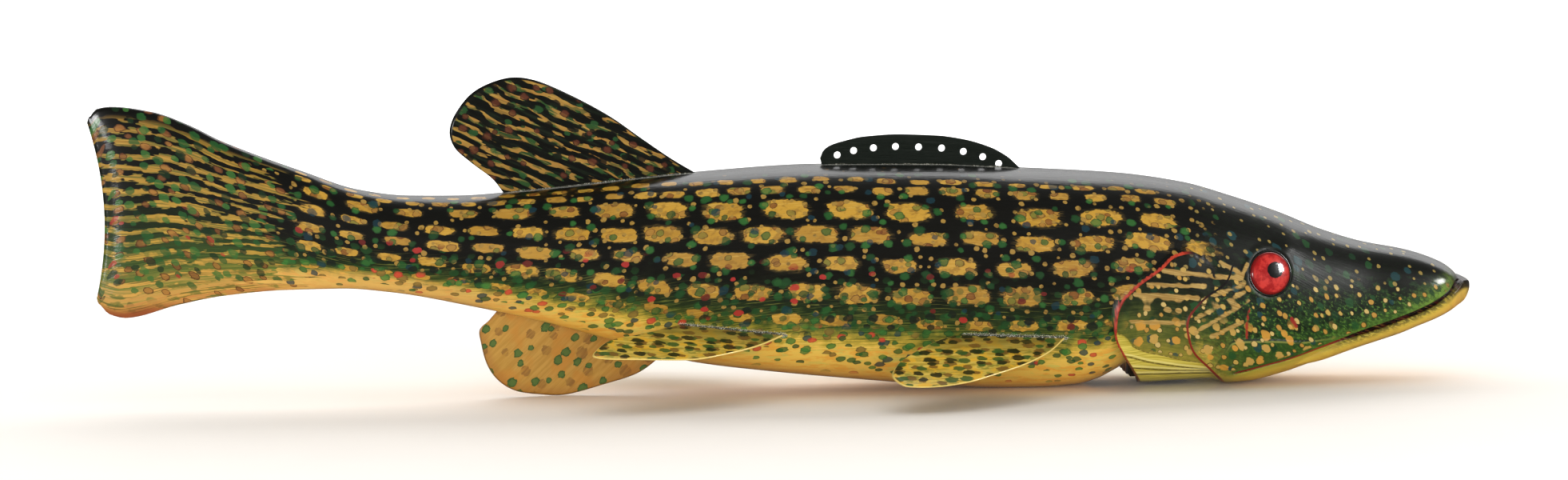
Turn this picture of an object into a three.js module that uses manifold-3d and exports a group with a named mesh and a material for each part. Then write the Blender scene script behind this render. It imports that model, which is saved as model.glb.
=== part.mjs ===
// A folk-carved pike decoy: one painted wooden body with sheet-metal fins, a line-tie plate and domed eyes.
// Millimetres. +X runs to the jaw tip, +Z is up, +Y is the fish's left. The origin is on the ground under
// the middle of the body's length.
import * as THREE from 'three';
import { mergeVertices } from 'three/addons/utils/BufferGeometryUtils.js';
import Module from 'manifold-3d';

const wasm = await Module();
wasm.setup();

// Body
const BODY_LENGTH = 520;
const BODY_DEPTH = 85;
const BODY_WIDTH = 62;
const RING_SIDES = 32;
const TAIL_HOLLOW = 4.4;
const TAIL_FIN_SHARE = 0.09;

// Head carving
const GILL_STEP = 1.9;
const RAY_STEP = 0.7;
const CHEEK_STEP = 1.0;
const JAW_FLAP_STEP = 0.7;
const MOUTH_GROOVE_DEPTH = 1.3;
const MOUTH_GROOVE_HEIGHT = 1.3;
const THROAT_CUT_WIDTH = 17;

// Eyes
const EYE_DIAMETER = 16;
const EYE_DOME = 2.4;
const EYE_SEAT = 2.2;
const EYE_RIM_WIDTH = 1.3;
const EYE_RIM_HEIGHT = 0.5;
const EYE_SIDES = 20;

// Sheet-metal fins, each let into a saw kerf
const FIN_SHEET = 0.7;
const TANG_DEPTH = 6;
const CLEARANCE = 0.3;
const DORSAL_LENGTH = 89.5;
const DORSAL_HEIGHT = 42.3;
const ANAL_LENGTH = 62;
const ANAL_HEIGHT = 27;
const PECTORAL_LENGTH = 69.4;
const PECTORAL_WIDTH = 36;
const PECTORAL_DIP = 25;
const PELVIC_LENGTH = 71;
const PELVIC_WIDTH = 32;
const PELVIC_DIP = 21;

// Line-tie plate
const TIE_SHEET = 0.9;
const TIE_LENGTH = 76;
const TIE_HEIGHT = 11.9;
const TIE_HOLE_DIAMETER = 2.85;
const TIE_HOLE_COUNT = 9;
const TIE_HOLE_SPAN = 61.4;
const TIE_HOLE_CROWDING = 0.15;
const TIE_HOLE_SHIFT = 0.9;
const TIE_HOLE_EDGE = 4.6;
const HOLE_SIDES = 12;

// Places on the body, as shares along it and up it
const DORSAL_FRONT = 0.428;
const ANAL_FRONT = 0.392;
const TIE_FRONT = 0.6645;
const PECTORAL_ROOT_ENDS = [[0.688, 0.258], [0.616, 0.28]];
const PELVIC_ROOT_ENDS = [[0.486, 0.289], [0.414, 0.339]];
const EYE_PLACE = [0.8387, 0.521];
const HEAD_START = 0.7;
const PLATES_END = 0.921;

// Colours seen from a step away
const PAINT = {
  body: { color: 0x4a5a1e, roughness: 0.25, metalness: 0 },
  fin: { color: 0xb8902e, roughness: 0.3, metalness: 0.2 },
  dark: { color: 0x10160f, roughness: 0.25, metalness: 0.3 },
  eye: { color: 0xc01a1c, roughness: 0.1, metalness: 0 },
};

// Shares of the body: along from the tail tip (0) to the jaw tip (1), up from the ground (0) to the back (1)
const along = (share) => (share - 0.5) * BODY_LENGTH;
const up = (share) => share * BODY_DEPTH;
const shareAt = (x) => x / BODY_LENGTH + 0.5;

/** 0 before `from`, 1 after `to`, smooth between. */
function ramp(value, from, to) {
  const t = Math.min(1, Math.max(0, (value - from) / (to - from)));
  return t * t * (3 - 2 * t);
}

/** Smooth curve through [place, value] points that never swings past them. */
function profile(points) {
  const rise = (i) => (points[i + 1][1] - points[i][1]) / (points[i + 1][0] - points[i][0]);
  const last = points.length - 1;
  const slopes = points.map((point, i) => {
    if (i === 0) return rise(0);
    if (i === last) return rise(last - 1);
    const before = rise(i - 1);
    const after = rise(i);
    return before * after <= 0 ? 0 : (2 * before * after) / (before + after);
  });
  return (place) => {
    if (place <= points[0][0]) return points[0][1];
    if (place >= points[last][0]) return points[last][1];
    const i = points.findIndex((point, k) => k < last && place < points[k + 1][0]);
    const span = points[i + 1][0] - points[i][0];
    const t = (place - points[i][0]) / span;
    const a = points[i][1];
    const b = points[i + 1][1];
    const bend = (1 - t) * t * span * ((1 - t) * (slopes[i] - rise(i)) - t * (slopes[i + 1] - rise(i)));
    return a + (b - a) * t + bend;
  };
}

// Back, belly and throat lines: share along, share up
const back = profile([
  [0, 1.26], [0.004, 1.29], [0.014, 1.3], [0.043, 1.275], [0.07, 1.212], [0.09, 1.148], [0.149, 1.005],
  [0.188, 0.922], [0.222, 0.893], [0.26, 0.889], [0.31, 0.909], [0.429, 0.974], [0.515, 1], [0.6, 0.993],
  [0.664, 0.97], [0.737, 0.94], [0.785, 0.895], [0.82, 0.832], [0.856, 0.755], [0.889, 0.672], [0.919, 0.615],
  [0.9525, 0.573], [0.977, 0.52], [0.986, 0.482], [0.99, 0.452],
]);
const belly = profile([
  [0, 0.44], [0.006, 0.4], [0.018, 0.381], [0.058, 0.434], [0.092, 0.47], [0.135, 0.49], [0.175, 0.492],
  [0.21, 0.472], [0.27, 0.4], [0.31, 0.342], [0.366, 0.245], [0.426, 0.139], [0.48, 0.092], [0.533, 0.056],
  [0.6, 0.016], [0.645, -0.003], [0.68, -0.006], [0.705, 0.004], [0.72, 0.028], [0.731, 0.063],
  [0.742, 0.095], [0.77, 0.1], [0.79, 0.085], [0.81, 0.05], [0.83, 0.026], [0.858, 0.045], [0.885, 0.092],
  [0.914, 0.155], [0.946, 0.215], [0.97, 0.275], [0.985, 0.35], [0.99, 0.39],
]);
const throat = profile([
  [0.7, 0.02], [0.75, 0.014], [0.79, 0.02], [0.802, 0.022], [0.813, 0.006], [0.829, 0.008], [0.857, 0.037],
  [0.883, 0.085], [0.912, 0.145], [0.93, 0.178], [0.9428, 0.201], [0.9557, 0.231], [0.9685, 0.262],
  [0.982, 0.303], [0.9885, 0.332], [0.9955, 0.368], [1, 0.408],
]);

// Widest height, half width and roundness of the sections
const waist = profile([
  [0, 0.85], [0.12, 0.78], [0.183, 0.71], [0.27, 0.635], [0.354, 0.575], [0.44, 0.54], [0.523, 0.505],
  [0.61, 0.47], [0.727, 0.45], [0.785, 0.425], [0.842, 0.39], [0.885, 0.33], [0.914, 0.32], [0.946, 0.35],
  [0.97, 0.4], [0.99, 0.43],
]);
const halfWidth = profile([
  [0, 0.05], [0.004, 0.08], [0.014, 0.12], [0.067, 0.18], [0.125, 0.27], [0.183, 0.39], [0.27, 0.55],
  [0.354, 0.71], [0.44, 0.855], [0.523, 0.95], [0.61, 1], [0.67, 1], [0.727, 0.968], [0.785, 0.94],
  [0.817, 0.9], [0.842, 0.845], [0.885, 0.7], [0.914, 0.607], [0.946, 0.54], [0.968, 0.468], [0.98, 0.385],
  [0.986, 0.27], [0.99, 0.12],
]);
const crownPower = profile([
  [0, 3], [0.1, 2.4], [0.3, 2.2], [0.5, 2.45], [0.7, 2.4], [0.8, 2.2], [0.93, 2.4],
]);
const keelPower = profile([[0, 3], [0.1, 2.4], [0.3, 2.15], [0.6, 2.2], [0.8, 2.2]]);

// Lower jaw: rim height and half width
const jawRim = profile([
  [0.85, 0.08], [0.87, 0.125], [0.884, 0.165], [0.909, 0.224], [0.936, 0.275], [0.964, 0.338], [0.977, 0.38],
  [0.985, 0.422], [0.991, 0.453], [0.9965, 0.456], [1, 0.44],
]);
const jawHalf = profile([
  [0.85, 0.42], [0.87, 0.49], [0.885, 0.55], [0.914, 0.58], [0.946, 0.545], [0.971, 0.49], [0.981, 0.445],
  [0.988, 0.38], [0.994, 0.29], [0.998, 0.19], [1, 0.12],
]);

/** One cross-section of the carving at a share along the body. */
function bodySection(share) {
  return {
    top: up(back(share)),
    bottom: up(belly(share)),
    waist: up(waist(share)),
    half: (halfWidth(share) * BODY_WIDTH) / 2,
    crown: crownPower(share),
    keel: keelPower(share),
  };
}

/** Point of a section at an angle from straight up: a rounded box above the waist, another below it. */
function sectionPoint(section, angle) {
  const rise = Math.cos(angle);
  const side = Math.sin(angle);
  const power = 2 / (rise > 0 ? section.crown : section.keel);
  const reach = rise > 0 ? section.top - section.waist : section.waist - section.bottom;
  return {
    y: section.half * Math.sign(side) * Math.abs(side) ** power,
    z: section.waist + reach * Math.sign(rise) * Math.abs(rise) ** power,
  };
}

/** Half width of the bare body at a place along and a height. */
function sideAt(x, z) {
  const section = bodySection(shareAt(x));
  const power = z > section.waist ? section.crown : section.keel;
  const reach = z > section.waist ? section.top - section.waist : section.bottom - section.waist;
  const share = Math.min(1, Math.abs((z - section.waist) / reach));
  return section.half * (1 - share ** power) ** (1 / power);
}

/** Closed skin over rings of the section at each station, lifted outwards by `lift(share, height share)`. */
function skin(stations, sectionOf, lift = () => 0) {
  const positions = [];
  const faces = [];
  for (const station of stations) {
    const section = sectionOf(station);
    for (let k = 0; k < RING_SIDES; k += 1) {
      const { y, z } = sectionPoint(section, (2 * Math.PI * k) / RING_SIDES);
      const height = (z - section.bottom) / (section.top - section.bottom);
      const hollow = 4 * height * (1 - height) * TAIL_HOLLOW * (1 - ramp(station, 0, TAIL_FIN_SHARE));
      const side = Math.abs(y) < 1e-6 ? 0 : Math.sign(y);
      positions.push(along(station) + hollow, y + side * lift(station, z / BODY_DEPTH), z);
    }
  }
  const ring = (row, k) => row * RING_SIDES + (k + RING_SIDES) % RING_SIDES;
  for (let row = 0; row + 1 < stations.length; row += 1) {
    for (let k = 0; k < RING_SIDES; k += 1) {
      faces.push(ring(row, k), ring(row + 1, k), ring(row + 1, k + 1));
      faces.push(ring(row, k), ring(row + 1, k + 1), ring(row, k + 1));
    }
  }
  for (const [row, turned] of [[0, false], [stations.length - 1, true]]) {
    for (let k = 0; k < RING_SIDES / 2; k += 1) {
      const near = ring(row, k);
      const nearNext = ring(row, k + 1);
      const far = ring(row, -k);
      const farNext = ring(row, -k - 1);
      for (const face of [[near, nearNext, far], [far, nearNext, farNext]]) {
        if (new Set(face).size < 3) continue;
        faces.push(...(turned ? face.reverse() : face));
      }
    }
  }
  const geometry = new THREE.BufferGeometry();
  geometry.setAttribute('position', new THREE.Float32BufferAttribute(positions, 3));
  geometry.setIndex(faces);
  return geometry;
}

/** Stations from one share to another, evenly spaced. */
function stationsBetween(from, to, count) {
  return Array.from({ length: count }, (_, i) => from + ((to - from) * i) / (count - 1));
}

/** Closed geometry as a solid that can be joined and cut. */
function solid(geometry) {
  const bare = geometry.clone();
  bare.deleteAttribute('normal');
  bare.deleteAttribute('uv');
  const merged = mergeVertices(bare, 1e-5);
  return new wasm.Manifold(new wasm.Mesh({
    numProp: 3,
    vertProperties: new Float32Array(merged.attributes.position.array),
    triVerts: new Uint32Array(merged.index.array),
  }));
}

/** Solid back to a geometry. */
function geometryOf(shape) {
  const mesh = shape.getMesh();
  const geometry = new THREE.BufferGeometry();
  geometry.setAttribute('position', new THREE.Float32BufferAttribute(mesh.vertProperties, 3));
  geometry.setIndex(Array.from(mesh.triVerts));
  geometry.computeVertexNormals();
  return geometry;
}

/** Smooth open line through [a, b] points. */
function smoothLine(points, steps) {
  const knots = points.map(([a, b]) => new THREE.Vector3(a, b, 0));
  return new THREE.CatmullRomCurve3(knots, false, 'centripetal')
    .getPoints(steps)
    .map((point) => [point.x, point.y]);
}

/** Straight block right through the body, from a side outline of [share along, share up] points. */
function sideBlock(outline) {
  const shape = new THREE.Shape(outline.map(([a, b]) => new THREE.Vector2(along(a), up(b))));
  const depth = 3 * BODY_WIDTH;
  const geometry = new THREE.ExtrudeGeometry(shape, { depth, bevelEnabled: false });
  geometry.translate(0, 0, -depth / 2);
  geometry.rotateX(Math.PI / 2);
  return solid(geometry);
}

// Side lines of the head carving: share along, share up
const gillEdge = smoothLine([
  [0.797, 0.515], [0.794, 0.571], [0.786, 0.609], [0.778, 0.628], [0.768, 0.617], [0.756, 0.56],
  [0.74, 0.494], [0.7265, 0.41], [0.723, 0.325], [0.724, 0.245], [0.73, 0.175], [0.749, 0.014],
], 18);
const cheekEdge = smoothLine([
  [0.81, 0.56], [0.804, 0.485], [0.79, 0.432], [0.778, 0.358], [0.7755, 0.318], [0.777, 0.245],
  [0.782, 0.176], [0.794, 0.105], [0.8045, 0.047], [0.8135, 0.0]], 14);
const gillPlateFoot = smoothLine([
  [0.7, 0.33], [0.7287, 0.271], [0.737, 0.22], [0.7475, 0.192], [0.7596, 0.175], [0.7787, 0.145],
  [0.83, 0.1]], 9);
const rayFeet = [
  [[0.7, 0.2], [0.7315, 0.174], [0.752, 0.14], [0.79, 0.101], [0.83, 0.08]],
  [[0.7, 0.125], [0.735, 0.1165], [0.767, 0.098], [0.795, 0.087], [0.83, 0.075]],
  [[0.7, 0.085], [0.7387, 0.08], [0.7825, 0.0765], [0.83, 0.065]],
];
const mouthLine = smoothLine([
  [0.815, 0.071], [0.8225, 0.081], [0.835, 0.099], [0.8575, 0.128], [0.8837, 0.18], [0.9094, 0.232],
  [0.936, 0.283], [0.9644, 0.347], [0.9771, 0.392], [0.987, 0.445]], 16);
const jawFlapTop = smoothLine([
  [0.8, 0.13], [0.8055, 0.19], [0.812, 0.226], [0.82, 0.228], [0.847, 0.219], [0.864, 0.207], [0.8835, 0.217],
  [0.909, 0.236]], 10);

/** Side outline that closes a line straight up or down to a level and back. */
const closedTo = (line, level) => [...line, [line.at(-1)[0], level], [line[0][0], level]];

// How far each carved plate stands off the bare body, before it melts into it
const MELT = 0.3;
const gillLift = (share) => GILL_STEP * (1 - ramp(share, 0.73, 0.86)) - MELT * ramp(share, 0.8, 0.87);
function cheekLift(share, height) {
  const forward = ramp(share, 0.81, 0.885);
  const upward = ramp(height, 0.36, 0.55);
  const standing = (GILL_STEP * (1 - ramp(share, 0.73, 0.86)) + CHEEK_STEP * (1 - forward)) * (1 - upward);
  return standing - MELT * Math.max(forward, upward);
}
const jawFlapLift = (share, height) => cheekLift(share, height) + JAW_FLAP_STEP;
const gillKeel = profile([[0.7, 3.2], [0.8, 3], [0.87, 2.2]]);
const headSection = (share) => ({ ...bodySection(share), bottom: up(throat(share)), keel: gillKeel(share) });
const headStations = stationsBetween(HEAD_START, 0.96, 21);
const plateStations = headStations.filter((share) => share < PLATES_END + 1e-3);

/** Gill plate, the ray shingles under it, the cheek and the jaw flap, as one solid over the bare head. */
function headPlates() {
  const HIGH = 0.75;
  const LOW = -0.1;
  const UNDER_CHEEK = 0.83;
  const NOSE_END = 0.915;
  const behindCheek = sideBlock([
    ...gillEdge, [gillEdge.at(-1)[0], LOW], [UNDER_CHEEK, LOW], [UNDER_CHEEK, gillEdge[0][1]],
  ]);
  const gillSkin = (lift) => solid(skin(plateStations, headSection, lift)).intersect(behindCheek);
  const rayLift = (row) => (share) => gillLift(share) - (row + 1) * RAY_STEP;
  let plates = gillSkin(rayLift(rayFeet.length));
  rayFeet.forEach((foot, row) => {
    plates = plates.add(gillSkin(rayLift(row)).intersect(sideBlock(closedTo(foot, HIGH))));
  });
  plates = plates.add(gillSkin(gillLift).intersect(sideBlock(closedTo(gillPlateFoot, HIGH))));
  const cheekBlock = sideBlock([
    ...cheekEdge, [cheekEdge.at(-1)[0], LOW], [NOSE_END, LOW], [NOSE_END, cheekEdge[0][1]],
  ]);
  plates = plates.add(solid(skin(plateStations, headSection, cheekLift)).intersect(cheekBlock));
  const flapOutline = [...jawFlapTop, ...[...mouthLine].reverse().filter(([share]) => share < 0.9094)];
  return plates.add(solid(skin(plateStations, headSection, jawFlapLift)).intersect(sideBlock(flapOutline)));
}

/** Lower jaw with its rim just outside the upper jaw, reaching past the snout. */
function lowerJaw() {
  const RIM_DROP = 0.012;
  const JAW_ROOT_RISE = 0.03;
  const jawSection = (share) => ({
    top: up(jawRim(share)),
    waist: up(Math.max(jawRim(share) - RIM_DROP, (jawRim(share) + throat(share)) / 2)),
    bottom: up(throat(share) + JAW_ROOT_RISE * (1 - ramp(share, 0.85, 0.89))),
    half: (jawHalf(share) * BODY_WIDTH) / 2,
    crown: 4,
    keel: 2.2,
  });
  const stations = [...stationsBetween(0.85, 0.97, 10), 0.979, 0.986, 0.992, 0.997, 1];
  return solid(skin(stations, jawSection));
}

/** Groove along the mouth, as deep as named below the bare head. */
function mouthGroove() {
  const half = MOUTH_GROOVE_HEIGHT / 2 / BODY_DEPTH;
  const upper = mouthLine.map(([a, b]) => [a, b + half]);
  const lower = mouthLine.map(([a, b]) => [a, b - half]).reverse();
  const stations = [...stationsBetween(0.8, 0.965, 12), 0.974, 0.982, 0.988];
  const inner = (share) => {
    const section = bodySection(share);
    return { ...section, half: Math.max(0.2, section.half - MOUTH_GROOVE_DEPTH) };
  };
  return sideBlock([...upper, ...lower]).subtract(solid(skin(stations, inner)));
}

/** Vee cut from below between the two gill covers. */
function throatCut() {
  const [rear, tip, deep] = [0.715, 0.79, 0.085];
  const shape = new THREE.Shape([
    new THREE.Vector2(along(rear), -THROAT_CUT_WIDTH / 2),
    new THREE.Vector2(along(tip), 0),
    new THREE.Vector2(along(rear), THROAT_CUT_WIDTH / 2),
  ]);
  const depth = up(2 * deep);
  const geometry = new THREE.ExtrudeGeometry(shape, { depth, bevelEnabled: false });
  geometry.translate(0, 0, -up(deep));
  return solid(geometry);
}

/** Right-handed frame from two directions, set at a point. */
function frameAt(origin, run, outward) {
  const normal = new THREE.Vector3().crossVectors(run, outward).normalize();
  const square = new THREE.Vector3().crossVectors(normal, run).normalize();
  return new THREE.Matrix4().makeBasis(run.clone().normalize(), square, normal).setPosition(origin);
}

/** Outline moved outwards by a distance, corners kept sharp. */
function grown(outline, by) {
  const count = outline.length;
  const turning = outline.reduce((sum, [a, b], i) => {
    const [c, d] = outline[(i + 1) % count];
    return sum + a * d - b * c;
  }, 0);
  const sense = Math.sign(turning);
  const edgeNormal = (i) => {
    const [a, b] = outline[(i + count) % count];
    const [c, d] = outline[(i + 1 + count) % count];
    const length = Math.hypot(c - a, d - b);
    return [(sense * (d - b)) / length, (-sense * (c - a)) / length];
  };
  return outline.map(([a, b], i) => {
    const [m, n] = edgeNormal(i - 1);
    const [p, q] = edgeNormal(i);
    const share = by / Math.max(0.35, 1 + m * p + n * q);
    return [a + (m + p) * share, b + (n + q) * share];
  });
}

/** Flat sheet of an outline in a frame's first two directions, half its thickness on either side. */
function sheet(outline, thickness, frame, holes = []) {
  const shape = new THREE.Shape(outline.map(([a, b]) => new THREE.Vector2(a, b)));
  for (const { a, b, radius } of holes) {
    shape.holes.push(new THREE.Path(Array.from({ length: HOLE_SIDES }, (_, k) => {
      const angle = (2 * Math.PI * k) / HOLE_SIDES;
      return new THREE.Vector2(a + radius * Math.cos(angle), b + radius * Math.sin(angle));
    })));
  }
  const geometry = new THREE.ExtrudeGeometry(shape, { depth: thickness, bevelEnabled: false });
  geometry.translate(0, 0, -thickness / 2);
  return geometry.applyMatrix4(frame);
}

/** A sheet-metal fin: blade through [share back, share out] points from its front root, tang below. */
function finOutline(blade, length, height, root, steps) {
  const edge = smoothLine(blade.map(([a, b]) => [a * length, b * height]), steps);
  const inset = TANG_DEPTH / 3;
  return [...edge, [root * length - inset, -TANG_DEPTH], [inset, -TANG_DEPTH]];
}

// Fin blades: share of the fin's length back from the front root, share of its height out from the root line
const DORSAL_ROOT = 0.802;
const dorsalBlade = [
  [0, 0], [0.09, 0.14], [0.206, 0.345], [0.334, 0.577], [0.502, 0.815], [0.631, 0.958], [0.724, 1],
  [0.828, 0.961], [0.898, 0.889], [0.956, 0.768], [0.989, 0.657], [1, 0.556], [0.984, 0.435], [0.922, 0.29],
  [0.84, 0.126], [DORSAL_ROOT, 0],
];
const ANAL_ROOT = 0.93;
const analBlade = [
  [-0.12, -0.02], [0, 0.33], [0.19, 0.617], [0.405, 0.89], [0.529, 0.96], [0.706, 1], [0.818, 0.916],
  [0.9, 0.755], [0.968, 0.496], [1, 0.307], [0.963, 0.157], [ANAL_ROOT, 0],
];
const PECTORAL_ROOT = 0.536;
const pectoralBlade = [
  [0, 0], [0.107, 0.27], [0.259, 0.52], [0.451, 0.744], [0.586, 0.883], [0.744, 0.978], [0.882, 1],
  [0.954, 0.972], [1, 0.814], [0.97, 0.628], [0.927, 0.506], [0.69, 0.108], [PECTORAL_ROOT, 0],
];
const PELVIC_ROOT = 0.528;
const pelvicBlade = [
  [0, 0], [0.152, 0.347], [0.332, 0.637], [0.475, 0.816], [0.759, 0.95], [0.97, 1], [1, 0.962],
  [0.986, 0.828], [0.917, 0.569], [0.761, 0.353], [PELVIC_ROOT, 0],
];

/** Frame of a plate that stands in the middle plane, its root of a length on the back or belly line. */
function middleFrame(front, rootLength, line, outward) {
  const rear = front - rootLength / BODY_LENGTH;
  const start = new THREE.Vector3(along(front), 0, up(line(front)));
  const end = new THREE.Vector3(along(rear), 0, up(line(rear)));
  return frameAt(start, end.sub(start), new THREE.Vector3(0, 0, outward));
}

/** Frame of a side fin: root on the flank from front to rear, blade dipping outwards. */
function flankFrame(front, rear, dip, side) {
  const onFlank = ([a, b]) => new THREE.Vector3(along(a), side * sideAt(along(a), up(b)), up(b));
  const start = onFlank(front);
  const angle = THREE.MathUtils.degToRad(dip);
  const outward = new THREE.Vector3(0, side * Math.cos(angle), -Math.sin(angle));
  return frameAt(start, onFlank(rear).sub(start), outward);
}

const dorsal = {
  outline: finOutline(dorsalBlade, DORSAL_LENGTH, DORSAL_HEIGHT, DORSAL_ROOT, 34),
  frame: middleFrame(DORSAL_FRONT, DORSAL_ROOT * DORSAL_LENGTH, back, 1),
};
const anal = {
  outline: finOutline(analBlade, ANAL_LENGTH, ANAL_HEIGHT, ANAL_ROOT, 28),
  frame: middleFrame(ANAL_FRONT, ANAL_ROOT * ANAL_LENGTH, belly, -1),
};
const pectoral = finOutline(pectoralBlade, PECTORAL_LENGTH, PECTORAL_WIDTH, PECTORAL_ROOT, 28);
const pelvic = finOutline(pelvicBlade, PELVIC_LENGTH, PELVIC_WIDTH, PELVIC_ROOT, 24);
const SIDES = [['right', -1], ['left', 1]];
const flankFins = SIDES.flatMap(([hand, side]) => [
  {
    name: `pectoral_fin_${hand}`,
    outline: pectoral,
    frame: flankFrame(...PECTORAL_ROOT_ENDS, PECTORAL_DIP, side),
  },
  {
    name: `pelvic_fin_${hand}`,
    outline: pelvic,
    frame: flankFrame(...PELVIC_ROOT_ENDS, PELVIC_DIP, side),
  },
]);

// Line-tie plate: low arch with holes at one distance inside its edge
const tieArch = profile([
  [0, 0], [0.066, 0.36], [0.154, 0.647], [0.29, 0.882], [0.426, 0.983], [0.597, 1], [0.783, 0.908],
  [0.882, 0.76], [0.95, 0.61], [0.985, 0.44], [1, 0.2],
]);
const tieTop = stationsBetween(0, 1, 23).map((share) => [share * TIE_LENGTH, tieArch(share) * TIE_HEIGHT]);
const tiePlate = {
  outline: [...tieTop, [TIE_LENGTH - TANG_DEPTH / 3, -TANG_DEPTH], [TANG_DEPTH / 3, -TANG_DEPTH]],
  frame: middleFrame(TIE_FRONT, TIE_LENGTH, back, 1),
};
const tieHoles = Array.from({ length: TIE_HOLE_COUNT }, (_, k) => {
  const t = (2 * k) / (TIE_HOLE_COUNT - 1) - 1;
  const spread = t + TIE_HOLE_CROWDING * (t - t ** 3);
  const a = TIE_LENGTH / 2 + TIE_HOLE_SHIFT + (spread * TIE_HOLE_SPAN) / 2;
  return { a, b: tieArch(a / TIE_LENGTH) * TIE_HEIGHT - TIE_HOLE_EDGE, radius: TIE_HOLE_DIAMETER / 2 };
});

/** Round body about a frame's third direction from [radius, height] points that start and end on it. */
function turned(points, sides, frame) {
  const geometry = new THREE.LatheGeometry(points.map(([r, h]) => new THREE.Vector2(r, h)), sides);
  geometry.rotateX(Math.PI / 2);
  return geometry.applyMatrix4(frame);
}

/** Frame of an eye: on the flank, looking straight out of the carving. */
function eyeFrame(side) {
  const x = along(EYE_PLACE[0]);
  const z = up(EYE_PLACE[1]);
  const STEP = 2;
  const slopeX = (sideAt(x + STEP, z) - sideAt(x - STEP, z)) / (2 * STEP);
  const slopeZ = (sideAt(x, z + STEP) - sideAt(x, z - STEP)) / (2 * STEP);
  const outward = new THREE.Vector3(-slopeX, side, -slopeZ).normalize();
  const run = new THREE.Vector3(0, 0, 1).cross(outward).normalize();
  const across = new THREE.Vector3().crossVectors(outward, run);
  const seat = new THREE.Vector3(x, side * sideAt(x, z), z);
  return new THREE.Matrix4().makeBasis(run, across, outward).setPosition(seat);
}

const eyeRadius = EYE_DIAMETER / 2;
const eyeProfile = [
  [0, -EYE_SEAT],
  [eyeRadius, -EYE_SEAT],
  [eyeRadius, 0],
  ...[0.35, 0.6, 0.82].map((t) => {
    const angle = (t * Math.PI) / 2;
    return [eyeRadius * Math.cos(angle), EYE_DOME * Math.sin(angle)];
  }),
  [0, EYE_DOME],
];
const socketRadius = eyeRadius + CLEARANCE;
const socketProfile = [
  [0, -EYE_SEAT - CLEARANCE],
  [socketRadius, -EYE_SEAT - CLEARANCE],
  [socketRadius, EYE_DOME + eyeRadius],
  [0, EYE_DOME + eyeRadius],
];
const rimRadius = socketRadius + EYE_RIM_WIDTH;
const rimProfile = [
  [0, -EYE_SEAT],
  [rimRadius, -EYE_SEAT],
  [rimRadius, EYE_RIM_HEIGHT / 2],
  [rimRadius - EYE_RIM_WIDTH / 2, EYE_RIM_HEIGHT],
  [0, EYE_RIM_HEIGHT],
];

/** The one carved wooden piece, with its kerfs and sockets. */
function carvedBody() {
  const stations = [
    0, 0.004, 0.01, 0.02, ...stationsBetween(0.035, HEAD_START, 24), ...headStations.slice(1),
    0.97, 0.979, 0.985, 0.9885, 0.99,
  ];
  let body = solid(skin(stations, bodySection)).add(headPlates()).add(lowerJaw());
  const ground = new THREE.BoxGeometry(BODY_LENGTH, 2 * BODY_WIDTH, BODY_DEPTH);
  ground.translate(0, 0, -BODY_DEPTH / 2);
  body = body.subtract(mouthGroove()).subtract(throatCut()).subtract(solid(ground));
  for (const { outline, frame } of [dorsal, anal, ...flankFins]) {
    body = body.subtract(solid(sheet(grown(outline, CLEARANCE), FIN_SHEET + 2 * CLEARANCE, frame)));
  }
  const tieKerf = sheet(grown(tiePlate.outline, CLEARANCE), TIE_SHEET + 2 * CLEARANCE, tiePlate.frame);
  body = body.subtract(solid(tieKerf));
  for (const [, side] of SIDES) {
    body = body.add(solid(turned(rimProfile, EYE_SIDES, eyeFrame(side))));
    body = body.subtract(solid(turned(socketProfile, EYE_SIDES, eyeFrame(side))));
  }
  return geometryOf(body);
}

const decoy = new THREE.Group();

/** Adds one named piece with its paint. */
function addPiece(name, geometry, paint) {
  const mesh = new THREE.Mesh(geometry, new THREE.MeshStandardMaterial(paint));
  mesh.name = name;
  decoy.add(mesh);
}

addPiece('body', carvedBody(), PAINT.body);
addPiece('tie_plate', sheet(tiePlate.outline, TIE_SHEET, tiePlate.frame, tieHoles), PAINT.dark);
addPiece('dorsal_fin', sheet(dorsal.outline, FIN_SHEET, dorsal.frame), PAINT.dark);
addPiece('anal_fin', sheet(anal.outline, FIN_SHEET, anal.frame), PAINT.fin);
for (const { name, outline, frame } of flankFins) {
  addPiece(name, sheet(outline, FIN_SHEET, frame), PAINT.fin);
}
for (const [hand, side] of SIDES) {
  addPiece(`eye_${hand}`, turned(eyeProfile, EYE_SIDES, eyeFrame(side)), PAINT.eye);
}

export default decoy;
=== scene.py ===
"""A folk-carved pike decoy: painted wooden body, sheet-metal fins, line-tie plate and domed eyes.

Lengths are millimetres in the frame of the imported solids, and become metres where a mesh is made. +X runs
to the jaw tip, +Z is up and +Y is the fish's left.
"""
import logging
import math
from dataclasses import dataclass
from dataclasses import field
from dataclasses import replace
from enum import Enum
from typing import Sequence
from typing import Union

import bmesh
import bpy
import numpy as np
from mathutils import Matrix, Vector


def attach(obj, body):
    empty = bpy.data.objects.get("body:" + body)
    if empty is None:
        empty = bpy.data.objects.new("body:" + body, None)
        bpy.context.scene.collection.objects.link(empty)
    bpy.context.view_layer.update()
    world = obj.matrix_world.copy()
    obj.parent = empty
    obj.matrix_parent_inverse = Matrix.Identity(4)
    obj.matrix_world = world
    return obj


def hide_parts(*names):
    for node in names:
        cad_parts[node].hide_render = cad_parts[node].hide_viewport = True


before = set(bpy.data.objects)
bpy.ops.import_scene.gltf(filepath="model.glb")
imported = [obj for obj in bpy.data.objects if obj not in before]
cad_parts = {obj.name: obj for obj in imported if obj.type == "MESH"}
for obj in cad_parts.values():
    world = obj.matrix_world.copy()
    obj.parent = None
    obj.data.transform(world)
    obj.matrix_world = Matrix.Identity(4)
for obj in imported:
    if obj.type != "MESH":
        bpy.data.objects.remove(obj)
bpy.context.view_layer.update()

LOG = logging.getLogger("decoy")
MM = 0.001
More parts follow.
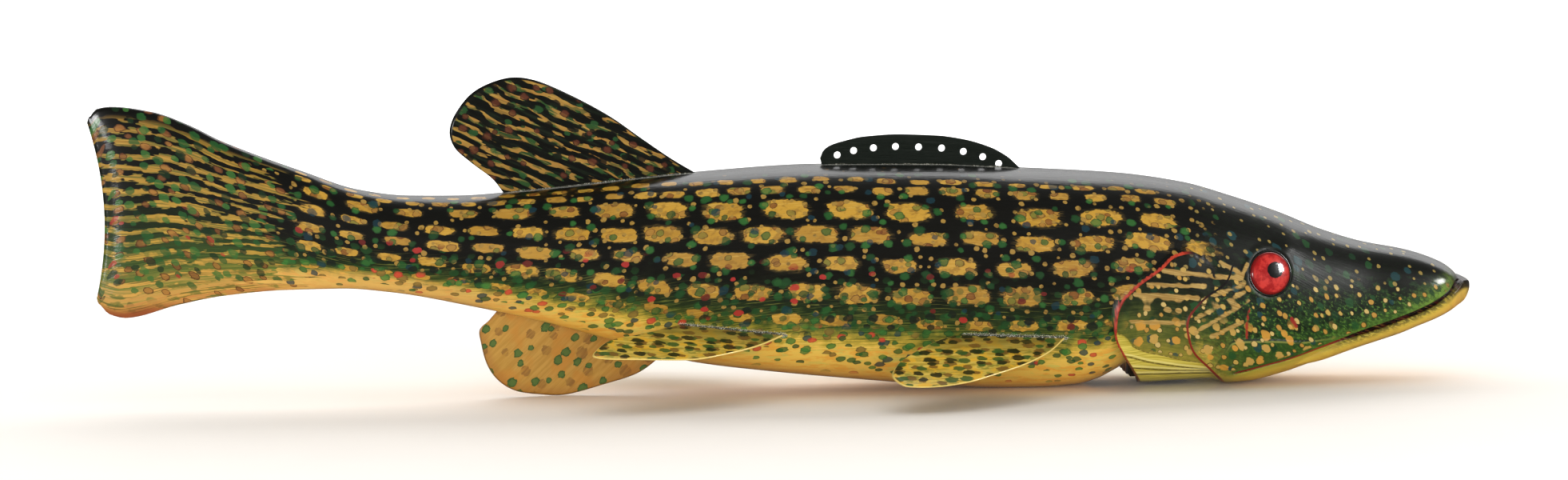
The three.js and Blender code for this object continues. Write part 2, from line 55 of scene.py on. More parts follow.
BODY_LENGTH = 520.0
BODY_DEPTH = 85.0
BODY_WIDTH = 62.0
VARNISH_WEIGHT = 1.0
VARNISH_ROUGH = 0.12
UNDERCOAT_SPECULAR = 0.25

Points = Sequence[tuple[float, float]]
Place = tuple[float, float, float]
Shade = tuple[int, int, int]
Array = np.ndarray
Socket = bpy.types.NodeSocket
Paint = tuple[float, float, float, float]
Feed = Union[Socket, float]


# Curves and distances


def ramp(value: Array, start: float, end: float) -> Array:
    """0 before start, 1 after end, and 3t^2 - 2t^3 between."""
    t = np.clip((value - start) / (end - start), 0.0, 1.0)
    return t * t * (3.0 - 2.0 * t)


@dataclass(frozen=True)
class Profile:
    """Cubic through (place, value) points whose inner slopes are harmonic means, so it never swings past."""

    points: Points

    def __call__(self, place: Array) -> Array:
        """Value of the curve, held beyond its ends.

        Args:
            place: places along the curve.

        Returns:
            One value for each place.
        """
        places, values = np.array(self.points, float).T
        spans = np.diff(places)
        rises = np.diff(values) / spans
        slopes = np.concatenate([rises[:1], np.zeros(len(rises) - 1), rises[-1:]])
        product = rises[:-1] * rises[1:]
        total = np.where(product > 0, rises[:-1] + rises[1:], 1.0)
        slopes[1:-1] = np.where(product > 0, 2.0 * product / total, 0.0)
        held = np.clip(place, places[0], places[-1])
        i = np.clip(np.searchsorted(places, held, side="right") - 1, 0, len(spans) - 1)
        t = (held - places[i]) / spans[i]
        bend = (1 - t) * t * spans[i] * ((1 - t) * (slopes[i] - rises[i]) - t * (slopes[i + 1] - rises[i]))
        return values[i] + (values[i + 1] - values[i]) * t + bend


def smooth_line(points: Points, steps: int) -> Array:
    """Centripetal Catmull-Rom line: each span is a cubic whose knots lie root-of-distance apart.

    Args:
        points: the line's knots.
        steps: number of spans in the result.

    Returns:
        Array of steps + 1 points.
    """
    knots = np.array(points, float)
    padded = np.vstack([2 * knots[0] - knots[1], knots, 2 * knots[-1] - knots[-2]])
    place = np.linspace(0, len(knots) - 1, steps + 1)
    i = np.minimum(place.astype(int), len(knots) - 2)
    t = (place - i)[:, None]
    p0, p1, p2, p3 = (padded[i + k] for k in range(4))
    gaps = [np.linalg.norm(b - a, axis=1)[:, None] ** 0.5 for a, b in ((p0, p1), (p1, p2), (p2, p3))]
    g0, g1, g2 = (np.maximum(gap, 1e-4) for gap in gaps)
    start = ((p1 - p0) / g0 - (p2 - p0) / (g0 + g1) + (p2 - p1) / g1) * g1
    end = ((p2 - p1) / g1 - (p3 - p1) / (g1 + g2) + (p3 - p2) / g2) * g1
    cubic = (2 * p1 - 2 * p2 + start + end) * t ** 3
    return p1 + start * t + (3 * p2 - 3 * p1 - 2 * start - end) * t ** 2 + cubic


def nearest_on_line(line: Array, x: Array, z: Array) -> tuple[Array, ...]:
    """Foot of each place on an open line: the nearest of its feet on the line's segments.

    Args:
        line: (k, 2) points.
        x: first coordinate of the places.
        z: second coordinate of the places.

    Returns:
        Distance, and the foot's two coordinates.
    """
    best = np.full(x.shape, 1e9)
    foot_x = x.copy()
    foot_z = z.copy()
    for (ax, az), (bx, bz) in zip(line[:-1], line[1:]):
        dx, dz = bx - ax, bz - az
        t = np.clip(((x - ax) * dx + (z - az) * dz) / (dx * dx + dz * dz + 1e-12), 0, 1)
        gap = np.hypot(x - ax - t * dx, z - az - t * dz)
        closer = gap < best
        best = np.where(closer, gap, best)
        foot_x = np.where(closer, ax + t * dx, foot_x)
        foot_z = np.where(closer, az + t * dz, foot_z)
    return best, foot_x, foot_z


def inside(outline: Array, x: Array, z: Array) -> Array:
    """Whether each place is in a closed outline: a level ray from it crosses the outline an odd number
    of times.

    Args:
        outline: (k, 2) points.
        x: first coordinate of the places.
        z: second coordinate of the places.

    Returns:
        True where a place is inside.
    """
    odd = np.zeros(x.shape, bool)
    for (ax, az), (bx, bz) in zip(outline, np.roll(outline, -1, axis=0)):
        spans = (az > z) != (bz > z)
        height = bz - az if bz != az else 1e-9
        odd ^= spans & (x < ax + (z - az) * (bx - ax) / height)
    return odd


def signed_gap(line: Array, outline: Array, x: Array, z: Array) -> Array:
    """Distance from an open line, below 0 outside an outline that the line is part of."""
    gap = nearest_on_line(line, x, z)[0]
    return np.where(inside(outline, x, z), gap, -gap)


def in_mm(line: Array) -> Array:
    """Line of (share along, share up) as millimetres."""
    return np.column_stack([(line[:, 0] - 0.5) * BODY_LENGTH, line[:, 1] * BODY_DEPTH])


def along(share: Array) -> Array:
    """Millimetres along from a share of the body's length."""
    return (share - 0.5) * BODY_LENGTH


# Meshes


def grid_faces(rows: int, columns: int, wrap: bool) -> Array:
    """Quads between neighbouring rows and columns of a grid of points numbered row by row.

    Args:
        rows: number of rows.
        columns: number of columns.
        wrap: whether the last column joins the first.

    Returns:
        (n, 4) point numbers.
    """
    row = np.arange(rows - 1)[:, None]
    column = np.arange(columns if wrap else columns - 1)[None, :]
    after = (column + 1) % columns
    corners = (row * columns + column, (row + 1) * columns + column,
               (row + 1) * columns + after, row * columns + after)
    return np.stack([corner.ravel() for corner in corners], axis=1)


def numbers_of(items: bpy.types.bpy_prop_collection, label: str, width: int = 1,
               kind: type = np.float32) -> Array:
    """One named property of all of a mesh's points, corners or faces.

    Args:
        items: the points, corners or faces.
        label: the property.
        width: how many numbers each item has.
        kind: type of the numbers.

    Returns:
        Flat array of the numbers.
    """
    numbers = np.empty(width * len(items), kind)
    items.foreach_get(label, numbers)
    return numbers


def lay_uv(mesh: bpy.types.Mesh, uv: Array) -> None:
    """Puts paint coordinates on the corners of a mesh's faces."""
    mesh.uv_layers.new(name="paint").data.foreach_set("uv", uv.astype(np.float32).ravel())


def make_piece(name: str, points: Array, faces: list, values: dict[str, Array] | None = None,
               uv: Array | None = None) -> bpy.types.Object:
    """Object from points in millimetres, doubles merged and faces turned outwards.

    Args:
        name: the object's name.
        points: (n, 3) places.
        faces: lists of point numbers.
        values: named numbers for each point.
        uv: (n, 2) paint coordinates for each point.

    Returns:
        The new object, at the origin.
    """
    mesh = bpy.data.meshes.new(name)
    mesh.from_pydata((points * MM).tolist(), [], faces)
    for label, numbers in (values or {}).items():
        layer = mesh.attributes.new(label, "FLOAT", "POINT")
        layer.data.foreach_set("value", np.ascontiguousarray(numbers, np.float32))
    if uv is not None:
        lay_uv(mesh, uv[numbers_of(mesh.loops, "vertex_index", kind=np.int32)])
    tidy = bmesh.new()
    tidy.from_mesh(mesh)
    bmesh.ops.remove_doubles(tidy, verts=tidy.verts, dist=2e-6)
    bmesh.ops.dissolve_degenerate(tidy, edges=tidy.edges, dist=1e-6)
    bmesh.ops.recalc_face_normals(tidy, faces=tidy.faces)
    tidy.to_mesh(mesh)
    tidy.free()
    mesh.shade_smooth()
    piece = bpy.data.objects.new(name, mesh)
    bpy.context.scene.collection.objects.link(piece)
    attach(piece, "root")
    return piece


# Paint


def paint(shade: Shade) -> Paint:
    """Linear colour from the 0 to 255 numbers of a colour as seen.

    Args:
        shade: Red, green and blue, 0 to 255.

    Returns:
        Red, green, blue and 1.
    """
    shares = [number / 255 for number in shade]
    linear = [share / 12.92 if share <= 0.04 else ((share + 0.055) / 1.055) ** 2.4 for share in shares]
    return (linear[0], linear[1], linear[2], 1.0)


class Brush:
    """A material that is painted layer by layer with nodes."""

    def __init__(self, name: str) -> None:
        """Starts a material with one glossy surface shader.

        Args:
            name: the material's name.
        """
        self.material = bpy.data.materials.new(name)
        self.material.use_nodes = True
        self.tree = self.material.node_tree
        self.shader = self.tree.nodes["Principled BSDF"]

    def put(self, socket: Socket, value: Feed | Shade | Paint) -> None:
        """Links a socket to another, or sets its number or colour.

        Args:
            socket: the socket.
            value: another socket, a number, a colour as seen or a linear colour.
        """
        if isinstance(value, Socket):
            self.tree.links.new(value, socket)
        elif isinstance(value, tuple) and len(value) == 3:
            socket.default_value = paint(value)
        else:
            socket.default_value = value

    def node(self, kind: str, **settings: object) -> bpy.types.Node:
        """New node with its settings.

        Args:
            kind: Type of the node.
            settings: Its settings by name.

        Returns:
            The node.
        """
        node = self.tree.nodes.new(kind)
        for key, value in settings.items():
            setattr(node, key, value)
        return node

    def math(self, operation: str, *values: Feed) -> Socket:
        """One sum.

        Args:
            operation: the node's operation.
            values: its inputs, in order.

        Returns:
            The result's socket.
        """
        node = self.node("ShaderNodeMath", operation=operation)
        for socket, value in zip(node.inputs, values):
            self.put(socket, value)
        return node.outputs[0]

    def fade(self, value: Feed, start: float, end: float, low: float = 0.0,
             high: float = 1.0) -> Socket:
        """Smooth step from low at start to high at end.

        Args:
            value: what the step reads.
            start: where it begins.
            end: where it ends.
            low: result at the start.
            high: result at the end.

        Returns:
            The result's socket.
        """
        node = self.node("ShaderNodeMapRange", interpolation_type="SMOOTHSTEP")
        for key, number in (("Value", value), ("From Min", start), ("From Max", end), ("To Min", low),
                            ("To Max", high)):
            self.put(node.inputs[key], number)
        return node.outputs["Result"]

    def all_of(self, *masks: Feed) -> Feed:
        """Product of masks.

        Args:
            masks: Numbers from 0 to 1.

        Returns:
            Their product.
        """
        result = masks[0]
        for mask in masks[1:]:
            result = self.math("MULTIPLY", result, mask)
        return result

    def blend(self, under: Feed | Shade, over: Feed | Shade, *masks: Feed) -> Socket:
        """One colour over another.

        Args:
            under: the lower colour.
            over: the upper colour.
            masks: 0 to 1, whose product is how much of the upper shows.

        Returns:
            The colour's socket.
        """
        node = self.node("ShaderNodeMix", data_type="RGBA")
        self.put(node.inputs[0], self.all_of(*masks))
        self.put(node.inputs[6], under)
        self.put(node.inputs[7], over)
        return node.outputs[2]

    def gradient(self, value: Feed, stops: Sequence[tuple[float, Shade | Paint]],
                 steps: bool = False) -> bpy.types.Node:
        """Colours that change with a value.

        Args:
            value: 0 to 1.
            stops: places and colours.
            steps: whether each colour holds until the next.

        Returns:
            The node, with Color and Alpha outputs.
        """
        node = self.node("ShaderNodeValToRGB")
        node.color_ramp.interpolation = "CONSTANT" if steps else "LINEAR"
        elements = node.color_ramp.elements
        for _ in range(len(stops) - 2):
            elements.new(0.5)
        for element, (place, _) in zip(elements, stops):
            element.position = place
        for element, (_, colour) in zip(elements, stops):
            element.color = paint(colour) if len(colour) == 3 else colour
        self.put(node.inputs[0], value)
        return node

    def tones(self, value: Feed, *stops: tuple[float, int, int, int]) -> Socket:
        """Colour that passes through (place, red, green, blue) stops as a value grows."""
        colours = [(place, (red, green, blue)) for place, red, green, blue in stops]
        return self.gradient(value, colours).outputs[0]

    def vector(self, x: Feed, y: Feed, z: Feed = 0.0) -> Socket:
        """Vector from three numbers.

        Args:
            x: First number.
            y: Second number.
            z: Third number.

        Returns:
            The vector.
        """
        node = self.node("ShaderNodeCombineXYZ")
        for socket, value in zip(node.inputs, (x, y, z)):
            self.put(socket, value)
        return node.outputs[0]

    def noise(self, place: Socket, scale: float = 1.0, detail: float = 2.0,
              rough: float = 0.5) -> Socket:
        """Cloudy number about 0.5 at a place.

        Args:
            place: Where the noise is read.
            scale: Clouds to a unit.
            detail: Octaves.
            rough: Share of the finer octaves.

        Returns:
            The number.
        """
        node = self.node("ShaderNodeTexNoise", noise_dimensions="3D")
        self.put(node.inputs["Vector"], place)
        node.inputs["Scale"].default_value = scale
        node.inputs["Detail"].default_value = detail
        node.inputs["Roughness"].default_value = rough
        return node.outputs["Fac"]

    def cloud(self, u: Feed, u_scale: float, v: Feed, v_scale: float, seed: float = 0.0, detail: float = 2.0,
              rough: float = 0.6) -> Socket:
        """Cloudy number about 0.5, with its own scale along each of two coordinates."""
        place = self.vector(self.math("MULTIPLY", u, u_scale), self.math("MULTIPLY", v, v_scale), seed)
        return self.noise(place, 1.0, detail, rough)

    def swing(self, value: Feed, range_width: float) -> Socket:
        """A number about 0.5 as a number about 0 that spans a width."""
        return self.math("MULTIPLY_ADD", value, range_width, -range_width / 2)

    def radius(self, u: Feed, v: Feed) -> Socket:
        """Distance from 0: the root of u^2 + v^2."""
        return self.math("SQRT", self.math("ADD", self.math("POWER", u, 2.0), self.math("POWER", v, 2.0)))

    def number(self, label: str) -> Socket:
        """Number that the mesh carries under a name."""
        node = self.node("ShaderNodeAttribute", attribute_type="GEOMETRY", attribute_name=label)
        return node.outputs["Fac"]

    def split(self, vector: Socket) -> list[Socket]:
        """Three numbers of a vector.

        Args:
            vector: Vector or colour.

        Returns:
            Its three numbers.
        """
        node = self.node("ShaderNodeSeparateXYZ")
        self.put(node.inputs[0], vector)
        return list(node.outputs)

    def surface_place(self) -> list[Socket]:
        """Two paint coordinates of the surface, in millimetres."""
        return self.split(self.node("ShaderNodeUVMap", uv_map="paint").outputs[0])[:2]

    def finish(self, colour: Feed, rough: Feed, bump: Feed | None, depth: float, coat: Feed = VARNISH_WEIGHT,
               coat_rough: Feed = VARNISH_ROUGH) -> bpy.types.Material:
        """Joins the paint to the shader.

        Args:
            colour: paint colour.
            rough: roughness under the varnish.
            bump: height of the relief, 0 to 1.
            depth: relief's depth in millimetres.
            coat: share of varnish.
            coat_rough: roughness of the varnish.

        Returns:
            The material.
        """
        self.put(self.shader.inputs["Base Color"], colour)
        self.put(self.shader.inputs["Roughness"], rough)
        self.shader.inputs["Coat Weight"].default_value = VARNISH_WEIGHT
        self.shader.inputs["Coat Roughness"].default_value = VARNISH_ROUGH
        self.put(self.shader.inputs["Coat Weight"], coat)
        self.put(self.shader.inputs["Coat Roughness"], coat_rough)
        self.shader.inputs["Specular IOR Level"].default_value = UNDERCOAT_SPECULAR
        if bump is not None:
            node = self.node("ShaderNodeBump")
            node.inputs["Strength"].default_value = 1.0
            node.inputs["Distance"].default_value = depth * MM
            self.put(node.inputs["Height"], bump)
            self.tree.links.new(node.outputs[0], self.shader.inputs["Normal"])
            self.tree.links.new(node.outputs[0], self.shader.inputs["Coat Normal"])
        return self.material


@dataclass(frozen=True)
class Dabs:
    """Masks of brush touches and their rims, and a random colour for each cell."""

    fill: Feed
    rim: Feed
    chance: list[Socket]


# Carving rules, the same as the solids'


@dataclass(frozen=True)
class Section:
    """A cross-section at each place: a rounded box above the waist and another below it."""

    top: Array
    waist: Array
    bottom: Array
    half: Array
    crown: Array
    keel: Array

    def box(self, above: Array) -> tuple[Array, Array]:
        """Roundness and reach of the box above the waist or below it."""
        power = np.where(above, self.crown, self.keel)
        return power, np.where(above, self.top - self.waist, self.waist - self.bottom)

    def at(self, angle: Array) -> tuple[Array, Array]:
        """Point at an angle from straight up: half * sin^(2/p), waist +- reach * cos^(2/p).

        Args:
            angle: angles in radians, 0 to pi.

        Returns:
            Distance from the middle plane, and height.
        """
        rise = np.cos(angle)
        power, reach = self.box(rise > 0)
        side = self.half * np.abs(np.sin(angle)) ** (2 / power)
        return side, self.waist + reach * np.sign(rise) * np.abs(rise) ** (2 / power)

    def side(self, z: Array) -> Array:
        """Half width at a height: half * (1 - share^p)^(1/p), and 0 outside.

        Args:
            z: heights.

        Returns:
            Half widths.
        """
        power, reach = self.box(z > self.waist)
        share = np.abs(z - self.waist) / np.maximum(reach, 1e-6)
        return self.half * np.clip(1 - share ** power, 0, None) ** (1 / power)

    def angle_of(self, z: Array) -> Array:
        """Angle from straight up whose point has a height: the inverse of at.

        Args:
            z: Heights.

        Returns:
            Angles from 0 at the top to pi at the bottom.
        """
        above = z > self.waist
        power, reach = self.box(above)
        share = np.clip(np.abs(z - self.waist) / np.maximum(reach, 1e-6), 0, 1)
        angle = np.arccos(share ** (power / 2))
        return np.where(above, angle, np.pi - angle)


@dataclass(frozen=True)
class Carving:
    """Lines, widths and roundness of the wooden body, as shares of its length and depth."""

    back: Profile = Profile((
        (0, 1.26), (0.004, 1.29), (0.014, 1.3), (0.043, 1.275), (0.07, 1.212), (0.09, 1.148), (0.149, 1.005),
        (0.188, 0.922), (0.222, 0.893), (0.26, 0.889), (0.31, 0.909), (0.429, 0.974), (0.515, 1),
        (0.6, 0.993), (0.664, 0.97), (0.737, 0.94), (0.785, 0.895), (0.82, 0.832), (0.856, 0.755),
        (0.889, 0.672),
        (0.919, 0.615), (0.9525, 0.573), (0.977, 0.52), (0.986, 0.482), (0.99, 0.452)))
    belly: Profile = Profile((
        (0, 0.44), (0.006, 0.4), (0.018, 0.381), (0.058, 0.434), (0.092, 0.47), (0.135, 0.49), (0.175, 0.492),
        (0.21, 0.472), (0.27, 0.4), (0.31, 0.342), (0.366, 0.245), (0.426, 0.139), (0.48, 0.092),
        (0.533, 0.056), (0.6, 0.016), (0.645, -0.003), (0.68, -0.006), (0.705, 0.004), (0.72, 0.028),
        (0.731, 0.063), (0.742, 0.095), (0.77, 0.1), (0.79, 0.085), (0.81, 0.05), (0.83, 0.026),
        (0.858, 0.045), (0.885, 0.092), (0.914, 0.155), (0.946, 0.215), (0.97, 0.275), (0.985, 0.35),
        (0.99, 0.39)))
    throat: Profile = Profile((
        (0.7, 0.02), (0.75, 0.014), (0.79, 0.02), (0.802, 0.022), (0.813, 0.006), (0.829, 0.008),
        (0.857, 0.037), (0.883, 0.085), (0.912, 0.145), (0.93, 0.178), (0.9428, 0.201), (0.9557, 0.231),
        (0.9685, 0.258), (0.982, 0.293), (0.9885, 0.316), (0.9955, 0.343), (1, 0.368)))
    waist: Profile = Profile((
        (0, 0.85), (0.12, 0.78), (0.183, 0.71), (0.27, 0.635), (0.354, 0.575), (0.44, 0.54), (0.523, 0.505),
        (0.61, 0.47), (0.727, 0.45), (0.785, 0.425), (0.842, 0.39), (0.885, 0.33), (0.914, 0.32),
        (0.946, 0.35), (0.97, 0.4), (0.99, 0.43)))
    half_width: Profile = Profile((
        (0, 0.05), (0.004, 0.08), (0.014, 0.12), (0.067, 0.18), (0.125, 0.27), (0.183, 0.39), (0.27, 0.55),
        (0.354, 0.71), (0.44, 0.855), (0.523, 0.95), (0.61, 1), (0.67, 1), (0.727, 0.968), (0.785, 0.94),
        (0.817, 0.9), (0.842, 0.845), (0.885, 0.7), (0.914, 0.607), (0.946, 0.54), (0.968, 0.468),
        (0.98, 0.385), (0.986, 0.27), (0.99, 0.12)))
    crown: Profile = Profile((
        (0, 3), (0.1, 2.4), (0.3, 2.2), (0.5, 2.45), (0.7, 2.4), (0.8, 2.2), (0.93, 2.4)))
    keel: Profile = Profile(((0, 3), (0.1, 2.4), (0.3, 2.15), (0.6, 2.2), (0.8, 2.2)))
    gill_keel: Profile = Profile(((0.7, 3.2), (0.8, 3), (0.87, 2.2)))
    jaw_rim: Profile = Profile((
        (0.85, 0.08), (0.87, 0.125), (0.884, 0.165), (0.909, 0.224), (0.936, 0.275), (0.964, 0.338),
        (0.977, 0.38), (0.985, 0.422), (0.991, 0.453), (0.9965, 0.45), (1, 0.432)))
    jaw_half: Profile = Profile((
        (0.85, 0.42), (0.87, 0.49), (0.885, 0.55), (0.914, 0.58), (0.946, 0.545), (0.971, 0.49),
        (0.981, 0.445), (0.988, 0.38), (0.994, 0.29), (0.998, 0.19), (1, 0.12)))
    mouth: Profile = Profile((
        (0.815, 0.071), (0.8225, 0.081), (0.835, 0.099), (0.8575, 0.128), (0.8837, 0.18), (0.9094, 0.232),
        (0.936, 0.283), (0.9644, 0.347), (0.9771, 0.392), (0.987, 0.445), (0.991, 0.453), (0.9965, 0.45),
        (1, 0.432)))

    def over(self, share: Array, bottom: Profile, keel: Profile) -> Section:
        """Section with the body's back and width over a bottom line."""
        heights = [line(share) * BODY_DEPTH for line in (self.back, self.waist, bottom)]
        return Section(*heights, self.half_width(share) * BODY_WIDTH / 2, self.crown(share), keel(share))

    def section(self, share: Array) -> Section:
        """Bare body at shares along it."""
        return self.over(share, self.belly, self.keel)

    def head_section(self, share: Array) -> Section:
        """Head with its gill covers and jaw, whose bottom is the throat line."""
        return self.over(share, self.throat, self.gill_keel)

    def jaw_section(self, share: Array) -> Section:
        """Lower jaw, widest just under its rim.

        Args:
            share: Shares along the body.

        Returns:
            Its section at each share.
        """
        rim_drop, root_rise = 0.012, 0.03
        rim = self.jaw_rim(share)
        low = self.throat(share)
        waist = np.maximum(rim - rim_drop, (rim + low) / 2)
        bottom = low + root_rise * (1 - ramp(share, 0.85, 0.89))
        return Section(rim * BODY_DEPTH, waist * BODY_DEPTH, bottom * BODY_DEPTH,
                       self.jaw_half(share) * BODY_WIDTH / 2, np.full_like(rim, 4.0), np.full_like(rim, 2.2))

    def side_at(self, x: Array, z: Array) -> Array:
        """Half width of the bare body at a place along and a height, in millimetres."""
        share = np.asarray(x, float) / BODY_LENGTH + 0.5
        return self.section(share).side(np.asarray(z, float))


CARVING = Carving()
EYE_PLACE = (along(0.8387), 0.521 * BODY_DEPTH)
MOUTH_START = 0.815
HANDS = (("right", -1.0), ("left", 1.0))
SIDE_ROOTS = (((0.69, 0.257), (0.614, 0.2805)), ((0.488, 0.288), (0.412, 0.34)))
BACK_ROOTS = ((0.43, 0.288), (0.668, 0.515))


@dataclass(frozen=True)
class HeadLines:
    """Side lines of the head's carving in millimetres, and how far each plate stands off."""

    gill_edge: Array = field(default_factory=lambda: in_mm(smooth_line((
        (0.797, 0.515), (0.794, 0.571), (0.786, 0.609), (0.778, 0.628), (0.768, 0.617), (0.756, 0.56),
        (0.74, 0.494), (0.7265, 0.41), (0.723, 0.325), (0.724, 0.245), (0.73, 0.175), (0.749, 0.014)), 66)))
    cheek_edge: Array = field(default_factory=lambda: in_mm(smooth_line((
        (0.81, 0.56), (0.804, 0.485), (0.79, 0.432), (0.778, 0.358), (0.7755, 0.318), (0.777, 0.245),
        (0.782, 0.176), (0.794, 0.105), (0.8045, 0.047), (0.8135, 0.0)), 54)))
    flap_top: Array = field(default_factory=lambda: in_mm(smooth_line((
        (0.8, 0.13), (0.8055, 0.19), (0.812, 0.226), (0.82, 0.228), (0.847, 0.219), (0.864, 0.207),
        (0.8835, 0.217), (0.909, 0.236)), 36)))
    feet: tuple = field(default_factory=lambda: tuple(in_mm(smooth_line(line, 24)) for line in (
        ((0.7, 0.33), (0.7287, 0.271), (0.737, 0.22), (0.7475, 0.192), (0.7596, 0.175), (0.7787, 0.145),
         (0.83, 0.1)),
        ((0.7, 0.2), (0.7315, 0.174), (0.752, 0.14), (0.79, 0.101), (0.83, 0.08)),
        ((0.7, 0.125), (0.735, 0.1165), (0.767, 0.098), (0.795, 0.087), (0.83, 0.075)),
        ((0.7, 0.085), (0.7387, 0.08), (0.7825, 0.0765), (0.83, 0.065)))))
    gill_step: float = 1.9
    ray_step: float = 0.7
    cheek_step: float = 1.0
    flap_step: float = 0.5
    melt: float = 0.3
    groove: float = 1.3
    foot_gap: float = 0.46

    def gill_foot(self) -> Array:
        """Line just behind the gill edge, where its step meets the bare body.

        Returns:
            Points along the line.
        """
        ahead = np.gradient(self.gill_edge, axis=0)
        ahead /= np.linalg.norm(ahead, axis=1)[:, None]
        return self.gill_edge + self.foot_gap * np.column_stack([ahead[:, 1], -ahead[:, 0]])

    def gill_block(self) -> Array:
        """Outline of all that lies ahead of the gill edge."""
        ends = in_mm(np.array([[0.749, -0.1], [0.85, -0.1], [0.85, 0.515]]))
        return np.vstack([self.gill_edge, ends])

    def cheek_block(self) -> Array:
        """Outline of all that lies ahead of the cheek edge."""
        ends = in_mm(np.array([[0.8135, -0.1], [0.915, -0.1], [0.915, 0.56]]))
        return np.vstack([self.cheek_edge, ends])

    def flap_block(self) -> Array:
        """Outline of the jaw flap, whose lower side is the mouth.

        Returns:
            Corners of the outline.
        """
        share = np.linspace(0.909, MOUTH_START, 30)
        mouth = in_mm(np.column_stack([share, CARVING.mouth(share)]))
        return np.vstack([self.flap_top, mouth])

    def gill_lift(self, share: Array) -> Array:
        """How far the gill plate stands off the bare head."""
        return self.gill_step * (1 - ramp(share, 0.73, 0.86)) - self.melt * ramp(share, 0.8, 0.87)

    def cheek_lift(self, share: Array, height: Array) -> Array:
        """How far the cheek stands off the bare head.

        Args:
            share: Shares along the body.
            height: Shares of its height.

        Returns:
            Lift at each point.
        """
        forward = ramp(share, 0.81, 0.885)
        upward = ramp(height, 0.36, 0.55)
        standing = self.gill_step * (1 - ramp(share, 0.73, 0.86)) + self.cheek_step * (1 - forward)
        return standing * (1 - upward) - self.melt * np.maximum(forward, upward)


